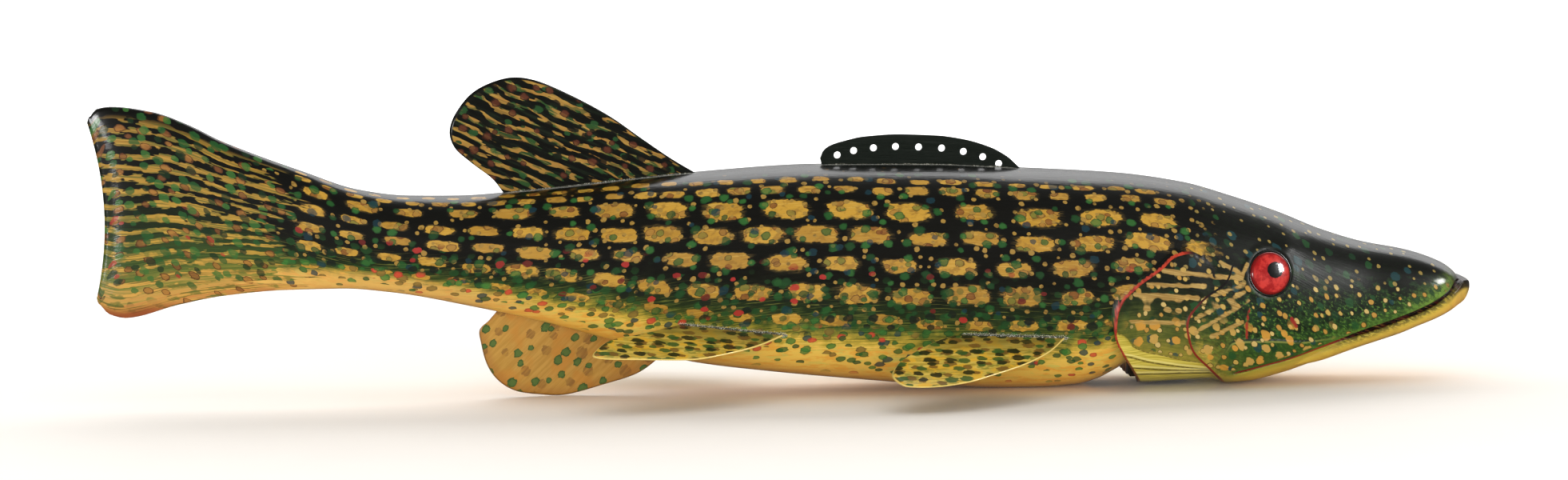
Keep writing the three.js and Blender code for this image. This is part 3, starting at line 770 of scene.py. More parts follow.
@dataclass
class CarvedBody:
    """The one carved wooden piece: tail, trunk, gill plates, cheeks and jaws in one closed surface.

    The surface is a grid of stations along the body and rows round it from the back to the keel. A row is an
    angle of the section, and one row follows the mouth.
    """

    side_rows: int = 120
    mouth_row: int = 93
    crowding: float = 0.45
    tail_hollow: float = 4.4
    tail_lean: float = 2.4
    tail_rounding: float = 0.0026
    tip_rounding: float = 0.0075
    snap: float = 0.27
    edge_width: float = 0.4
    free_rows: tuple[int, int] = (14, -7)
    throat_half: float = 8.5
    throat_top: float = 7.2
    far: float = 30.0
    rim_drop: float = 0.9
    corner_drop: float = 4.0
    socket_depth: float = 1.6
    brow_height: float = 1.1
    crest_height: float = 0.3
    wave_height: float = 0.09
    lines: HeadLines = field(default_factory=HeadLines)

    def stations(self) -> Array:
        """Shares along the body, closest together on the head.

        Returns:
            The shares, from the tail on.
        """
        rim = self.tail_rounding * np.sin(np.linspace(0.25, 1, 4)[:-1] * np.pi / 2)
        start = 1 - self.tip_rounding
        tip = start + self.tip_rounding * np.sin(np.linspace(0, 1, 15)[1:-1] * np.pi / 2)
        return np.concatenate([
            -rim[::-1], [0, 0.0018, 0.004, 0.0065, 0.0095, 0.0135, 0.018, 0.023, 0.028],
            np.linspace(0.033, 0.712, 112), np.linspace(0.7135, 0.974, 226), np.linspace(0.975, start, 26),
            tip])

    def angles(self, share: Array, head: Section) -> Array:
        """Angle of each row: even shares of the arc above the mouth and below it, crowded towards it.

        Args:
            share: (n, 1) stations.
            head: sections at the stations.

        Returns:
            (n, rows + 1) angles.
        """
        mouth = head.angle_of(CARVING.mouth(np.maximum(share, MOUTH_START)) * BODY_DEPTH)
        start = np.full((1, 1), MOUTH_START)
        held = CARVING.head_section(start).angle_of(CARVING.mouth(start) * BODY_DEPTH)
        mouth = np.where(share < MOUTH_START, held, mouth)
        upper = np.linspace(0, 1, self.mouth_row + 1)[None, :]
        lower = np.linspace(0, 1, self.side_rows - self.mouth_row + 1)[None, 1:]
        above = mouth * upper * (1 + self.crowding * (1 - upper))
        below = mouth + (np.pi - mouth) * lower * (1 - self.crowding * (1 - lower))
        return np.concatenate([above, below], axis=1)

    def snapped(self, x: Array, z: Array) -> tuple[Array, Array]:
        """Places near a carved edge moved onto it for a clean line, but for the straight back and keel.

        Args:
            x: places along.
            z: heights.

        Returns:
            The moved places.
        """
        inner = np.zeros(x.shape, bool)
        inner[:, slice(*self.free_rows)] = True
        on_plate = inside(self.lines.gill_block(), x - self.snap, z)
        lines = (self.lines.gill_edge, self.lines.gill_foot(), self.lines.cheek_edge, self.lines.flap_top)
        edges = [(line, inner) for line in lines]
        for line, where in edges + [(foot, on_plate) for foot in self.lines.feet]:
            gap, foot_x, foot_z = nearest_on_line(line, x, z)
            near = inner & where & (gap < self.snap)
            x = np.where(near, foot_x, x)
            z = np.where(near, foot_z, z)
            inner &= ~near
        return x, z

    def head_sides(self, x: Array, z: Array) -> dict[str, Array]:
        """Half width of the carved head: the outermost of the bare head, its raised plates and the jaw.

        Args:
            x: places along.
            z: heights.

        Returns:
            Half widths as side, whether a place is on the plates as plated, and the signed distances to the
            carved edges.
        """
        lines = self.lines
        share = x / BODY_LENGTH + 0.5
        height = z / BODY_DEPTH
        bare = CARVING.section(share).side(z)
        full = CARVING.head_section(share).side(z)
        gill, cheek, flap = (signed_gap(line, block, x, z) for line, block in (
            (lines.gill_edge, lines.gill_block()), (lines.cheek_edge, lines.cheek_block()),
            (lines.flap_top, lines.flap_block())))
        in_flap = inside(lines.flap_block(), x, z + 0.02)
        feet = np.stack([z - np.interp(x, foot[:, 0], foot[:, 1]) for foot in lines.feet])
        below = np.clip(-feet / self.edge_width, 0, 1).sum(axis=0)
        fade = 1 - ramp(share, 0.776, 0.8) * ramp(height, 0.42, 0.5)
        gill_side = full + (lines.gill_lift(share) - lines.ray_step * below) * fade
        cheek_side = full + lines.cheek_lift(share, height)
        in_gill = ramp(gill, -self.edge_width, 0)
        in_cheek = ramp(cheek, -self.edge_width, 0)
        side = bare + in_gill * (np.maximum(bare, gill_side) - bare)
        side = side + in_cheek * (np.maximum(bare, cheek_side) - side)
        mouth = z - CARVING.mouth(share) * BODY_DEPTH
        flap_mask = np.where(in_flap, 1.0, ramp(flap, -self.edge_width, 0) * (mouth > 0))
        side = np.maximum(side, flap_mask * (cheek_side + lines.flap_step * (1 - ramp(share, 0.895, 0.909))))
        groove = ramp(-np.abs(mouth), -0.75, -0.2) * (1 - ramp(share, 0.984, 0.988))
        groove = groove * (0.25 * ramp(share, 0.812, 0.82) + 0.75 * ramp(share, 0.87, 0.91))
        section = CARVING.section(share)
        inner = replace(section, half=np.maximum(0.2, section.half - lines.groove))
        side = side + groove * (np.minimum(side, inner.side(z)) - side)
        jaw = CARVING.jaw_section(share).side(z) * (share > 0.85) * ramp(mouth, -0.15, -0.45)
        side = np.maximum(side, jaw)
        plated = np.maximum(np.maximum(in_gill, in_cheek), ramp(share, 0.8, 0.81))
        return {"side": side, "plated": plated, "gill": gill, "cheek": cheek, "flap": flap,
                "mouth": mouth, "feet": feet}

    def shape(self) -> dict[str, Array]:
        """Right half of the surface: x, y and z on the grid, and what the paint reads.

        Returns:
            Named (stations, rows + 1) arrays.
        """
        raw = self.stations()[:, None]
        share = np.clip(raw, 0, 1)
        past_tail = np.clip(-raw, 0, None) / self.tail_rounding
        past_tip = np.clip(raw - 1 + self.tip_rounding, 0, None) / self.tip_rounding
        ends = np.sqrt(np.clip(1 - np.maximum(past_tail, past_tip) ** 2, 0, 1))
        bare = CARVING.section(share)
        head = CARVING.head_section(share)
        angle = self.angles(share, head)
        bare_y, bare_z = bare.at(angle)
        head_y, head_z = head.at(angle)
        lower = ramp(share, 0.7, 0.76)
        spans = np.hypot(*(np.diff(a + lower * (b - a)) for a, b in ((bare_y, head_y), (bare_z, head_z))))
        arc = np.concatenate([np.zeros((len(spans), 1)), np.cumsum(spans, axis=1)], axis=1)
        on_head = np.broadcast_to(share > 0.705, angle.shape)
        x = np.broadcast_to(along(raw), angle.shape).copy()
        moved_x, moved_z = self.snapped(x, head_z)
        x = np.where(on_head, moved_x, x)
        head_z = np.where(on_head, moved_z, head_z)
        carved = self.head_sides(np.clip(x, -260, 260), head_z)
        mix = carved["plated"] * on_head
        y = bare_y + mix * (carved["side"] - bare_y)
        z = bare_z + mix * (head_z - bare_z)
        here = x / BODY_LENGTH + 0.5
        vee = self.throat_half * np.clip((0.79 - here) / 0.075, 0, 1.2)
        cut = ramp(y - vee, 0.35, -0.35) * (here > 0.716) * (here < 0.79) * (z < self.throat_top)
        z = z + cut * (self.throat_top - z)
        carved["gill"] = np.where(cut > 0.02, self.far, carved["gill"])
        flat = ramp(share, 0.9875, 0.9905)
        rim = CARVING.jaw_rim(share) * BODY_DEPTH
        plateau = np.linspace(0, 1, self.mouth_row + 1)[None, :]
        upper = np.s_[:, :self.mouth_row + 1]
        y[upper] += flat * (CARVING.jaw_section(share).half * plateau - y[upper])
        z[upper] += flat * (rim - self.rim_drop * plateau ** 5 - z[upper])
        z = np.maximum(z, 0.0)
        middle = (z[:, :1] + z[:, -1:]) / 2
        y = self.eased(x, y, z) * ends
        z = np.where(past_tip > 0, middle + (z - middle) * ends, z)
        z = z - np.where(past_tail > 0, 1 - ends, 0) * self.corner_drop * (z - middle) / (z[:, :1] - middle)
        level = (z - z[:, -1:]) / (z[:, :1] - z[:, -1:])
        hollow = 4 * level * (1 - level) * self.tail_hollow + (1 - level) * self.tail_lean
        x = x + hollow * (1 - ramp(share, 0, 0.09))
        y[:, 0] = 0.0
        y[:, -1] = 0.0
        return {"x": x, "y": y, "z": z, "arc": arc, "hollow": cut, **carved}

    def eased(self, x: Array, y: Array, z: Array) -> Array:
        """Eye socket sunk under the eye, brow swollen above it, and the knife's slight waves.

        Args:
            x: places along.
            y: half widths.
            z: heights.

        Returns:
            New half widths.
        """
        gap = np.hypot(x - EYE_PLACE[0], z - EYE_PLACE[1])
        y = y - self.socket_depth * (1 - ramp(gap, 7.0, 8.3))
        brow = np.exp(-((x - EYE_PLACE[0] - 8.5) ** 2 + (z - EYE_PLACE[1] - 9.5) ** 2) / (2 * 3.2 ** 2))
        crest = np.exp(-((gap - 9.6) / 1.2) ** 2)
        waves = np.sin(x / 11 + z / 9) * np.sin(x / 17 - z / 6 + 1) * np.clip(y / 10, 0, 1)
        swollen = self.brow_height * brow + self.crest_height * crest + self.wave_height * waves
        return np.maximum(y + swollen, 0)

    def build(self) -> bpy.types.Object:
        """Closed body with its paint coordinates.

        Returns:
            The body.
        """
        half = self.shape()
        rows = self.side_rows
        x, y, z = half["x"], half["y"], half["z"]
        mirror = np.s_[:, rows - 1:0:-1]
        points = np.stack([np.concatenate([right, left[mirror]], axis=1).ravel()
                           for right, left in ((x, x), (-y, y), (z, z))], axis=1)
        columns = 2 * rows
        faces = grid_faces(len(x), columns, wrap=True).tolist()
        for start in (0, (len(x) - 1) * columns):
            faces += [[start + k, start + k + 1, start + columns - k - 1, start + (columns - k) % columns]
                      for k in range(1, rows - 1)]
            faces += [[start, start + 1, start + columns - 1],
                      [start + rows - 1, start + rows, start + rows + 1]]
        values = {label: np.concatenate([v, v[mirror]], axis=1).ravel()
                  for label, v in self.paint_numbers(half).items()}
        body = make_piece("body_carving", points, faces, values)
        self.unroll(body)
        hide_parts("body")
        return body

    def unroll(self, body: bpy.types.Object) -> None:
        """Paint coordinates: millimetres along, and round from the back, right side up and left side down.

        Args:
            body: The body's object.
        """
        mesh = body.data
        corner = numbers_of(mesh.loops, "vertex_index", kind=np.int32)
        place = numbers_of(mesh.vertices, "co", 3).reshape(-1, 3) / MM
        arc = numbers_of(mesh.attributes["arc"].data, "value")
        middles = numbers_of(mesh.polygons, "center", 3).reshape(-1, 3)
        sizes = numbers_of(mesh.polygons, "loop_total", kind=np.int32)
        side = np.repeat(np.where(middles[:, 1] < 0, 1.0, -1.0), sizes)
        lay_uv(mesh, np.stack([place[corner, 0], arc[corner] * side], axis=1))

    def spread(self, mask: Array) -> Array:
        """Greatest value of a mask among each point of the grid and its neighbours two steps away.

        Args:
            mask: A number to each point of the grid.

        Returns:
            The spread mask.
        """
        rows, columns = mask.shape
        wide = np.pad(mask, 2)
        steps = [(step, 0) for step in range(-2, 3)] + [(0, step) for step in range(-2, 3)]
        return np.maximum.reduce([wide[2 + a:2 + a + rows, 2 + b:2 + b + columns] for a, b in steps])

    def paint_numbers(self, half: dict[str, Array]) -> dict[str, Array]:
        """Numbers that the paint reads at each point of the right half.

        Args:
            half: the surface's arrays.

        Returns:
            Height share from the back, row place, run of the spots, arc round the body, and distances to the
            carved and painted lines.
        """
        x, z = half["x"], half["z"]
        share = np.clip(x / BODY_LENGTH + 0.5, 0, 1)
        low = CARVING.belly(share)
        low = (low + ramp(share, 0.7, 0.78) * (CARVING.throat(share) - low)) * BODY_DEPTH
        top = CARVING.back(share) * BODY_DEPTH
        height = np.clip((top - z) / (top - low), 0, 1)
        feet = half["feet"]
        return {
            **{label: half[label] for label in ("arc", "gill", "cheek", "flap", "mouth")},
            "level": height,
            "row": SPOT_ROWS.row_of(height, x),
            "run": SPOT_ROWS.run_of(x),
            # The throat cut, spread two points wider, marks where the painted shade of the throat goes.
            "hollow": self.spread(half["hollow"]),
            # Distances to the ray lines that place the painted shadow line and the painted highlight line.
            "foot": np.abs(feet + 0.3).min(axis=0),
            "lip": np.abs(feet - 0.6).min(axis=0),
            "rays": -feet[0],
            "stripe": STRIPES.gap(STRIPES.strokes, x, z),
            "mark": STRIPES.gap(STRIPES.marks, x, z),
            "seam": np.minimum(*(nearest_on_line(in_mm(np.array(ends)), x, z)[0]
                                 for ends in SIDE_ROOTS)),
            "eye": np.hypot(x - EYE_PLACE[0], z - EYE_PLACE[1]),
        }


@dataclass(frozen=True)
class SpotRows:
    """Rows of yellow spots along the flank, as a bricklayer sets them."""

    rows: Profile = Profile((
        (0, -2.4), (0.058, -1), (0.094, 0), (0.184, 1), (0.292, 2), (0.413, 3), (0.551, 4), (0.673, 5),
        (0.784, 6), (1, 7.4)))
    rear_rows: Profile = Profile((
        (0, -1.4), (0.05, 0), (0.13, 1), (0.285, 2), (0.43, 3), (0.6, 4), (0.76, 5), (0.88, 6), (1, 7)))
    rear: float = -140.0
    middle: float = 50.0
    power: float = 2.9
    pitch: Profile = Profile((
        (-260, 13), (-200, 14.5), (-120, 17), (-80, 17.2), (-40, 18.8), (0, 21), (80, 21.6), (140, 22)))
    pitch_shares: tuple[float, ...] = (1.75, 1.6, 0.913, 1.045, 1.0, 1.06, 1.2, 1.2)
    centres: tuple[float, ...] = (8.0, 3.0, 16.3, 5.1, 13.9, -0.5, -6.1, 4.0)
    half_lengths: tuple[float, ...] = (0.29, 0.32, 0.32, 0.365, 0.345, 0.345, 0.31, 0.0)
    half_heights: tuple[float, ...] = (0.24, 0.32, 0.34, 0.295, 0.285, 0.28, 0.22, 0.0)

    def row_of(self, level: Array, x: Array) -> Array:
        """Row number, whole in the middle of a row: rear rows blended evenly into the middle ones."""
        share = np.clip((x - self.rear) / (self.middle - self.rear), 0, 1)
        return self.rear_rows(level) * (1 - share) + self.rows(level) * share

    def run_of(self, x: Array) -> Array:
        """Number of pitches from the tail: the sum of 1 / pitch along the body.

        Args:
            x: Places along the body.

        Returns:
            Pitches up to each place.
        """
        place = np.linspace(-262, 262, 525)
        run = np.cumsum(1 / self.pitch(place))
        return np.interp(x, place, run)

    def table(self) -> list[tuple[float, Paint]]:
        """Steps of a row lookup: pitch share / 2, place in the pitch, half length and half height.

        Returns:
            Each step with its place in the lookup.
        """
        stops = []
        for k, share in enumerate(self.pitch_shares):
            start = float(self.run_of(np.array([self.centres[k]]))[0]) * share % 1.0
            stops.append((k / 8, (share / 2, start, self.half_lengths[k], self.half_heights[k])))
        return stops


@dataclass(frozen=True)
class Stripes:
    """Painted strokes and marks on the head: (along, up) ends in millimetres and the stroke's half width."""

    strokes: tuple = (
        ((134.5, 46.7), (155.7, 43.7), 0.8), ((156.6, 49.0), (163.9, 45.1), 0.75),
        ((155.7, 43.7), (164.6, 43.0), 0.8), ((164.6, 43.0), (167.1, 48.0), 0.7),
        ((128.2, 41.8), (150.3, 40.6), 0.75), ((123.3, 38.3), (147.6, 36.2), 0.75),
        ((121.8, 27.9), (142.4, 27.0), 0.7), ((127.6, 33.1), (128.6, 33.1), 1.2),
        ((135.4, 32.0), (136.4, 32.0), 1.1), ((139.9, 31.6), (140.6, 31.6), 1.0),
        ((150.4, 36.1), (165.6, 40.5), 0.7), ((146.7, 28.7), (165.6, 37.8), 0.7),
        ((146.8, 23.5), (167.2, 34.7), 0.7), ((152.8, 21.5), (164.8, 26.4), 0.7))
    marks: tuple = (((167.9, 32.9), (166.7, 26.9), 0.35), ((166.7, 26.9), (166.8, 20.5), 0.45),
                    ((184.6, 27.0), (186.9, 23.6), 0.6))

    def gap(self, strokes: tuple, x: Array, z: Array) -> Array:
        """Distance past the edge of the nearest stroke, negative inside it.

        Args:
            strokes: strokes or marks.
            x: places along.
            z: heights.

        Returns:
            Distances in millimetres.
        """
        best = np.full(x.shape, 30.0)
        for start, end, half in strokes:
            line = np.array([start, end])
            best = np.minimum(best, nearest_on_line(line, x, z)[0] - half)
        return best


SPOT_ROWS = SpotRows()
STRIPES = Stripes()


class Layers:
    """Layers of paint on one piece, laid one over another.

    A layer's bands name numbers that vary over the piece. Each has one or more pairs of places, and the
    layer fades in from the first place of a pair to the second.
    """

    scatter = 0.82
    raggedness = 1.1

    def __init__(self, name: str) -> None:
        """Starts the brush of a material with a name.

        Args:
            name: Name of the material.
        """
        self.brush = Brush(name)
        self.colour: Feed | Shade = (0, 0, 0)
        self.u, self.v = self.brush.surface_place()
        self.numbers: dict[str, Feed] = {}

    def mix(self, name: str, along_scale: float, across_scale: float, seed: float, detail: float,
            across: Feed | None = None, rough: float = 0.6) -> None:
        """Names a cloudy number about 0.5, with its own scale along the piece and across."""
        place = (self.u, along_scale, self.v if across is None else across, across_scale)
        self.numbers[name] = self.brush.cloud(*place, seed, detail, rough)

    def read(self, name: str) -> Feed:
        """Number of a name: one that is mixed, or else one that the mesh carries.

        Args:
            name: Its name.

        Returns:
            The number.
        """
        if name not in self.numbers:
            self.numbers[name] = self.brush.number(name)
        return self.numbers[name]

    def frayed(self, name: str, **shares: float) -> Feed:
        """A number plus shares of others, each less its middle.

        Args:
            name: The number to fray.
            shares: Share of each other number, by name.

        Returns:
            The frayed number.
        """
        result = self.read(name)
        for other, share in shares.items():
            result = self.brush.math("ADD", result, self.brush.swing(self.read(other), share))
        return result

    def band(self, *masks: Feed, **bands: tuple[float, ...]) -> Feed:
        """Product of masks and of the fades that bands name.

        Args:
            masks: Numbers from 0 to 1.
            bands: Two ends, or four, to each name.

        Returns:
            The product.
        """
        fades = [self.brush.fade(self.read(name), *ends[k:k + 2]) for name, ends in bands.items()
                 for k in range(0, len(ends), 2)]
        return self.brush.all_of(*masks, *fades)

    def near(self, name: str, centre: float, far: float, close: float) -> Feed:
        """Mask from 0 where a number is far from a centre to 1 where it is close."""
        gap = self.brush.math("SUBTRACT", self.read(name), centre)
        return self.brush.fade(self.brush.math("ABSOLUTE", gap), far, close)

    def lay(self, over: Feed | Shade, strength: float, *masks: Feed, **bands: tuple[float, ...]) -> None:
        """Lays a colour over the paint so far, where its masks and bands are 1."""
        self.colour = self.brush.blend(self.colour, over, self.band(*masks, strength, **bands))

    def touches(self, cell: tuple[float, float], radius: float, seed: float, share: Feed,
                ring: float = 0.0) -> Dabs:
        """Round or oval touches of the brush with uneven edges, one at most in each random cell.

        Args:
            cell: size of a cell along each coordinate, which also stretches the touch.
            radius: radius along the first coordinate.
            seed: moves the pattern.
            share: share of the cells that have a touch.
            ring: width of a rim as a share of the radius, or 0.

        Returns:
            Masks of the touches and their rims, and the random colour of the cell.
        """
        b = self.brush
        node = b.node("ShaderNodeTexVoronoi", voronoi_dimensions="2D", feature="F1")
        b.put(node.inputs["Vector"], b.vector(b.math("MULTIPLY_ADD", self.u, 1 / cell[0], seed),
                                              b.math("MULTIPLY_ADD", self.v, 1 / cell[1], seed * 0.37)))
        node.inputs["Scale"].default_value = 1.0
        node.inputs["Randomness"].default_value = self.scatter
        chance = b.split(node.outputs["Color"])
        size = b.math("MULTIPLY_ADD", chance[1], 0.6, 0.68)
        gap = b.math("DIVIDE", b.math("MULTIPLY", node.outputs["Distance"], cell[0] / radius), size)
        gap = b.math("ADD", gap, b.swing(self.read("ragged"), self.raggedness))
        fill = b.all_of(b.fade(gap, 1.0, 0.82), b.math("LESS_THAN", chance[0], share))
        rim = b.all_of(b.fade(gap, 1.0 - 1.6 * ring, 1.0 - 0.6 * ring), fill) if ring else 0.0
        return Dabs(fill, rim, chance)

    def dab(self, shades: Sequence[Feed | Shade], strength: float, cell: tuple[float, float],
            radius: float, seed: float, share: Feed, *masks: Feed, rim: tuple[Shade, float] | None = None,
            ring: float = 0.25, **bands: tuple[float, ...]) -> None:
        """Lays touches of the brush, each in one of some shades, and their rims.

        Args:
            shades: the shades.
            strength: how much they cover.
            cell: size of a cell.
            radius: their radius.
            seed: moves the pattern.
            share: share of the cells that have one.
            masks: where they are.
            rim: shade and strength of the rims.
            ring: width of a rim as a share of the radius.
            bands: where they are, by the name of a number.
        """
        touch = self.touches(cell, radius, seed, share, ring if rim else 0.0)
        where = self.band(*masks, 1.0, **bands)
        self.lay(self.picks(touch.chance[2], *shades), strength, touch.fill, where)
        if rim:
            self.lay(rim[0], rim[1], touch.rim, where)

    def picks(self, chance: Feed, *shades: Feed | Shade) -> Feed | Shade:
        """One of some shades, each as likely as the others.

        Args:
            chance: Even chance from 0 to 1.
            shades: The shades.

        Returns:
            The picked shade.
        """
        if len(shades) == 1:
            return shades[0]
        stops = [(k / len(shades), shade) for k, shade in enumerate(shades)]
        return self.brush.gradient(chance, stops, steps=True).outputs[0]


class BodyPaint(Layers):
    """Paint and varnish of the wooden body."""

    coat_rough = 0.1
    worn_rough = 0.3
    worn_coat = 0.1
    brush_depth = 0.07

    def __init__(self) -> None:
        """Starts the brush and the uneven numbers that the layers share."""
        super().__init__("body_paint")
        self.numbers["u"] = self.u
        self.mix("ragged", 0.3, 0.5, 0.0, 2.0)
        self.mix("bristle", 0.07, 2.1, 3.0, 3.0)
        self.mix("mottle", 0.17, 0.2, 5.0, 4.0)

    def material(self) -> bpy.types.Material:
        """The body's material.

        Returns:
            The material.
        """
        for layer in (self.ground, self.spots, self.flank_touches, self.belly_touches, self.tail,
                      self.head_ground, self.gill_plates, self.head_dots, self.strokes, self.jaw, self.putty):
            layer()
        b = self.brush
        bristle = self.read("bristle")
        rough = b.fade(bristle, 0.3, 0.7, 0.34, 0.5)
        relief = b.math("ADD", b.math("MULTIPLY", bristle, 0.7), b.math("MULTIPLY", self.read("ragged"), 0.5))
        near_eye = self.band(eye=(60.0, 28.0), level=(0.12, 0.24))
        worn = b.fade(near_eye, 0.0, 1.0, self.coat_rough, self.worn_rough)
        coat = b.fade(near_eye, 0.0, 1.0, 1.0, self.worn_coat)
        step = self.band(self.near("gill", -0.3, 1.2, 0.5), 0.4)
        varnish = b.math("MAXIMUM", b.math("MULTIPLY", worn, b.fade(self.u, 222.0, 236.0, 1.0, 0.6)), step)
        varnish = b.math("MAXIMUM", varnish, b.fade(self.u, 249.0, 252.0, 0.0, 0.35))
        return b.finish(self.colour, rough, relief, self.brush_depth, coat, varnish)

    def ground(self) -> None:
        """Ground coat: black back, dark green flank and yellow belly, drawn lengthwise with a dry brush."""
        b = self.brush
        later = b.fade(self.u, -60.0, -150.0, 0.0, -0.06)
        place = b.math("ADD", self.frayed("level", bristle=0.2, mottle=0.16), later)
        self.colour = b.tones(place, (0.0, 13, 13, 9), (0.46, 17, 16, 8), (0.56, 22, 27, 11),
                              (0.65, 34, 50, 18), (0.71, 68, 84, 28), (0.75, 130, 126, 42),
                              (0.79, 192, 164, 56), (0.84, 238, 200, 88), (0.93, 244, 196, 84),
                              (1.0, 238, 176, 72))
        green_zone = (0.5, 0.6, 0.8, 0.73)
        self.lay((132, 132, 50), 0.5, bristle=(0.57, 0.65), level=green_zone)
        self.lay((20, 40, 16), 0.7, bristle=(0.43, 0.36), level=green_zone)
        self.mix("orange", 0.11, 0.3, 31.0, 3.0)
        self.mix("lemon", 0.1, 0.34, 33.0, 3.0)
        self.lay((236, 168, 60), 0.85, level=(0.78, 0.84), orange=(0.47, 0.6))
        self.lay((206, 200, 96), 0.6, level=(0.78, 0.84, 0.97, 0.88), lemon=(0.52, 0.62))
        self.lay((212, 160, 88), 0.6, level=(0.76, 0.86), u=(-70.0, -130.0))

    def spots(self) -> None:
        """Rows of yellow spots, each (|a|^p + |b|^p) < 1 with a ragged edge and darker touches inside."""
        b = self.brush
        row = self.read("row")
        whole = b.math("ROUND", row)
        lookup = b.gradient(b.math("MULTIPLY_ADD", whole, 1 / 8, 1.5 / 8), SPOT_ROWS.table(), steps=True)
        pitch, start, half_length = b.split(lookup.outputs[0])
        cell = b.math("SUBTRACT", b.math("MULTIPLY", self.read("run"), b.math("MULTIPLY", pitch, 2.0)), start)
        number = b.math("ROUND", cell)
        dice = b.node("ShaderNodeTexWhiteNoise", noise_dimensions="2D")
        b.put(dice.inputs["Vector"], b.vector(number, b.math("MULTIPLY_ADD", whole, 7.0, 3.0)))
        chance = b.split(dice.outputs["Color"])
        off = b.math("ADD", b.math("SUBTRACT", cell, number), b.math("MULTIPLY_ADD", chance[0], 0.12, -0.06))
        up = b.math("ADD", b.math("SUBTRACT", row, whole), b.math("MULTIPLY_ADD", chance[1], 0.16, -0.08))
        size = b.math("MULTIPLY", b.math("MULTIPLY_ADD", chance[2], 0.28, 0.82),
                      b.fade(self.u, -185.0, -90.0, 0.86, 1.0))
        power = SPOT_ROWS.power
        shares = [b.math("DIVIDE", b.math("ABSOLUTE", gap), b.math("MULTIPLY", half, size))
                  for gap, half in ((off, half_length), (up, lookup.outputs[1]))]
        self.mix("lumps", 0.26, 0.42, 4.0, 2.0)
        powers = [b.math("POWER", share, power) for share in shares]
        self.numbers["round"] = b.math("POWER", b.math("ADD", *powers), 1 / power)
        self.numbers["reach"] = self.frayed("round", lumps=0.75, bristle=0.36)
        middle = b.math("MULTIPLY_ADD", off, -20.0, self.u)
        ahead = b.math("ABSOLUTE", b.math("SUBTRACT", whole, 2.0))
        kept = self.band(b.math("LESS_THAN", b.math("MULTIPLY_ADD", ahead, 6.0, middle), 153.0),
                         b.math("GREATER_THAN", middle, -190.0), b.math("LESS_THAN", row, 5.5),
                         b.math("GREATER_THAN", row, -1.5), gill=(0.3, -0.3))
        spot = self.band(kept, reach=(1.02, 0.95))
        self.lay((104, 84, 34), 0.6, kept, reach=(1.32, 1.0), bristle=(0.44, 0.58))
        tone = self.picks(chance[1], (180, 135, 41), (191, 146, 48), (172, 128, 41))
        tone = b.blend(tone, (208, 170, 78), b.fade(self.read("bristle"), 0.52, 0.66, 0.0, 0.6))
        tone = b.blend(tone, (148, 108, 36), b.fade(self.read("lumps"), 0.48, 0.64, 0.0, 0.75))
        self.lay(tone, 1.0, spot)
        for seed, share in ((51.3, 0.72), (63.9, 0.45)):
            self.dab(((132, 90, 38), (116, 108, 42), (156, 112, 46), (92, 108, 40), (116, 60, 26)), 0.74,
                     (6.2, 4.6), 1.75, seed, share, spot, rim=((84, 46, 18), 0.85), ring=0.22)

    def flank_touches(self) -> None:
        """Small yellow dots and green, teal, dark and red touches between and over the spots."""
        b = self.brush
        dots = self.touches((5.2, 4.6), 0.95, 37.3, 0.72)
        self.lay((158, 124, 52), 1.0, dots.fill, level=(0.02, 0.07, 0.74, 0.68))
        self.lay((96, 70, 26), 0.6, b.fade(dots.chance[2], 0.3, 0.31), b.math("POWER", dots.fill, 6.0),
                 ragged=(0.5, 0.56), level=(0.72, 0.66))
        self.dab(((36, 92, 38), (48, 108, 44), (30, 74, 34)), 0.8, (7.2, 5.8), 1.75, 3.1,
                 b.fade(self.read("level"), 0.08, 0.6, 0.55, 0.95), rim=((16, 48, 20), 0.6),
                 level=(0.01, 0.05, 0.8, 0.74))
        for shade, strength, cell, radius, seed, share, zone in (
                ((30, 78, 32), 0.68, (5.4, 4.4), 1.6, 71.9, 0.7, (0.42, 0.58, 0.78, 0.7)),
                ((18, 54, 64), 0.75, (11.5, 9.5), 1.6, 23.9, 0.4, (0.01, 0.05, 0.76, 0.7)),
                ((24, 32, 22), 0.9, (7.6, 6.0), 1.9, 83.1, 0.55, (0.56, 0.64, 0.79, 0.73))):
            self.dab((shade,), strength, cell, radius, seed, share, level=zone)
        self.dab(((150, 30, 26), (108, 28, 22), (178, 42, 34)), 0.88, (10.5, 7.6), 1.55, 97.7, 0.5,
                 level=(0.38, 0.48, 0.8, 0.74), u=(150.0, 120.0))

    def belly_touches(self) -> None:
        """Oval touches of green, red, brown and teal on the yellow, sparser towards the keel."""
        shades = ((62, 124, 48), (36, 84, 40), (206, 66, 44), (70, 128, 52), (134, 106, 44), (28, 66, 70),
                  (48, 104, 42))
        share = self.brush.fade(self.read("level"), 0.78, 0.93, 0.95, 0.3)
        for seed, cell in ((131.9, (6.0, 4.7)), (149.3, (7.4, 5.6)), (113.1, (9.0, 7.0))):
            self.dab(shades, 0.86, cell, 1.75, seed, share, rim=((30, 44, 22), 0.35), ring=0.3,
                     level=(0.7, 0.75, 0.97, 0.93), u=(160.0, 130.0))

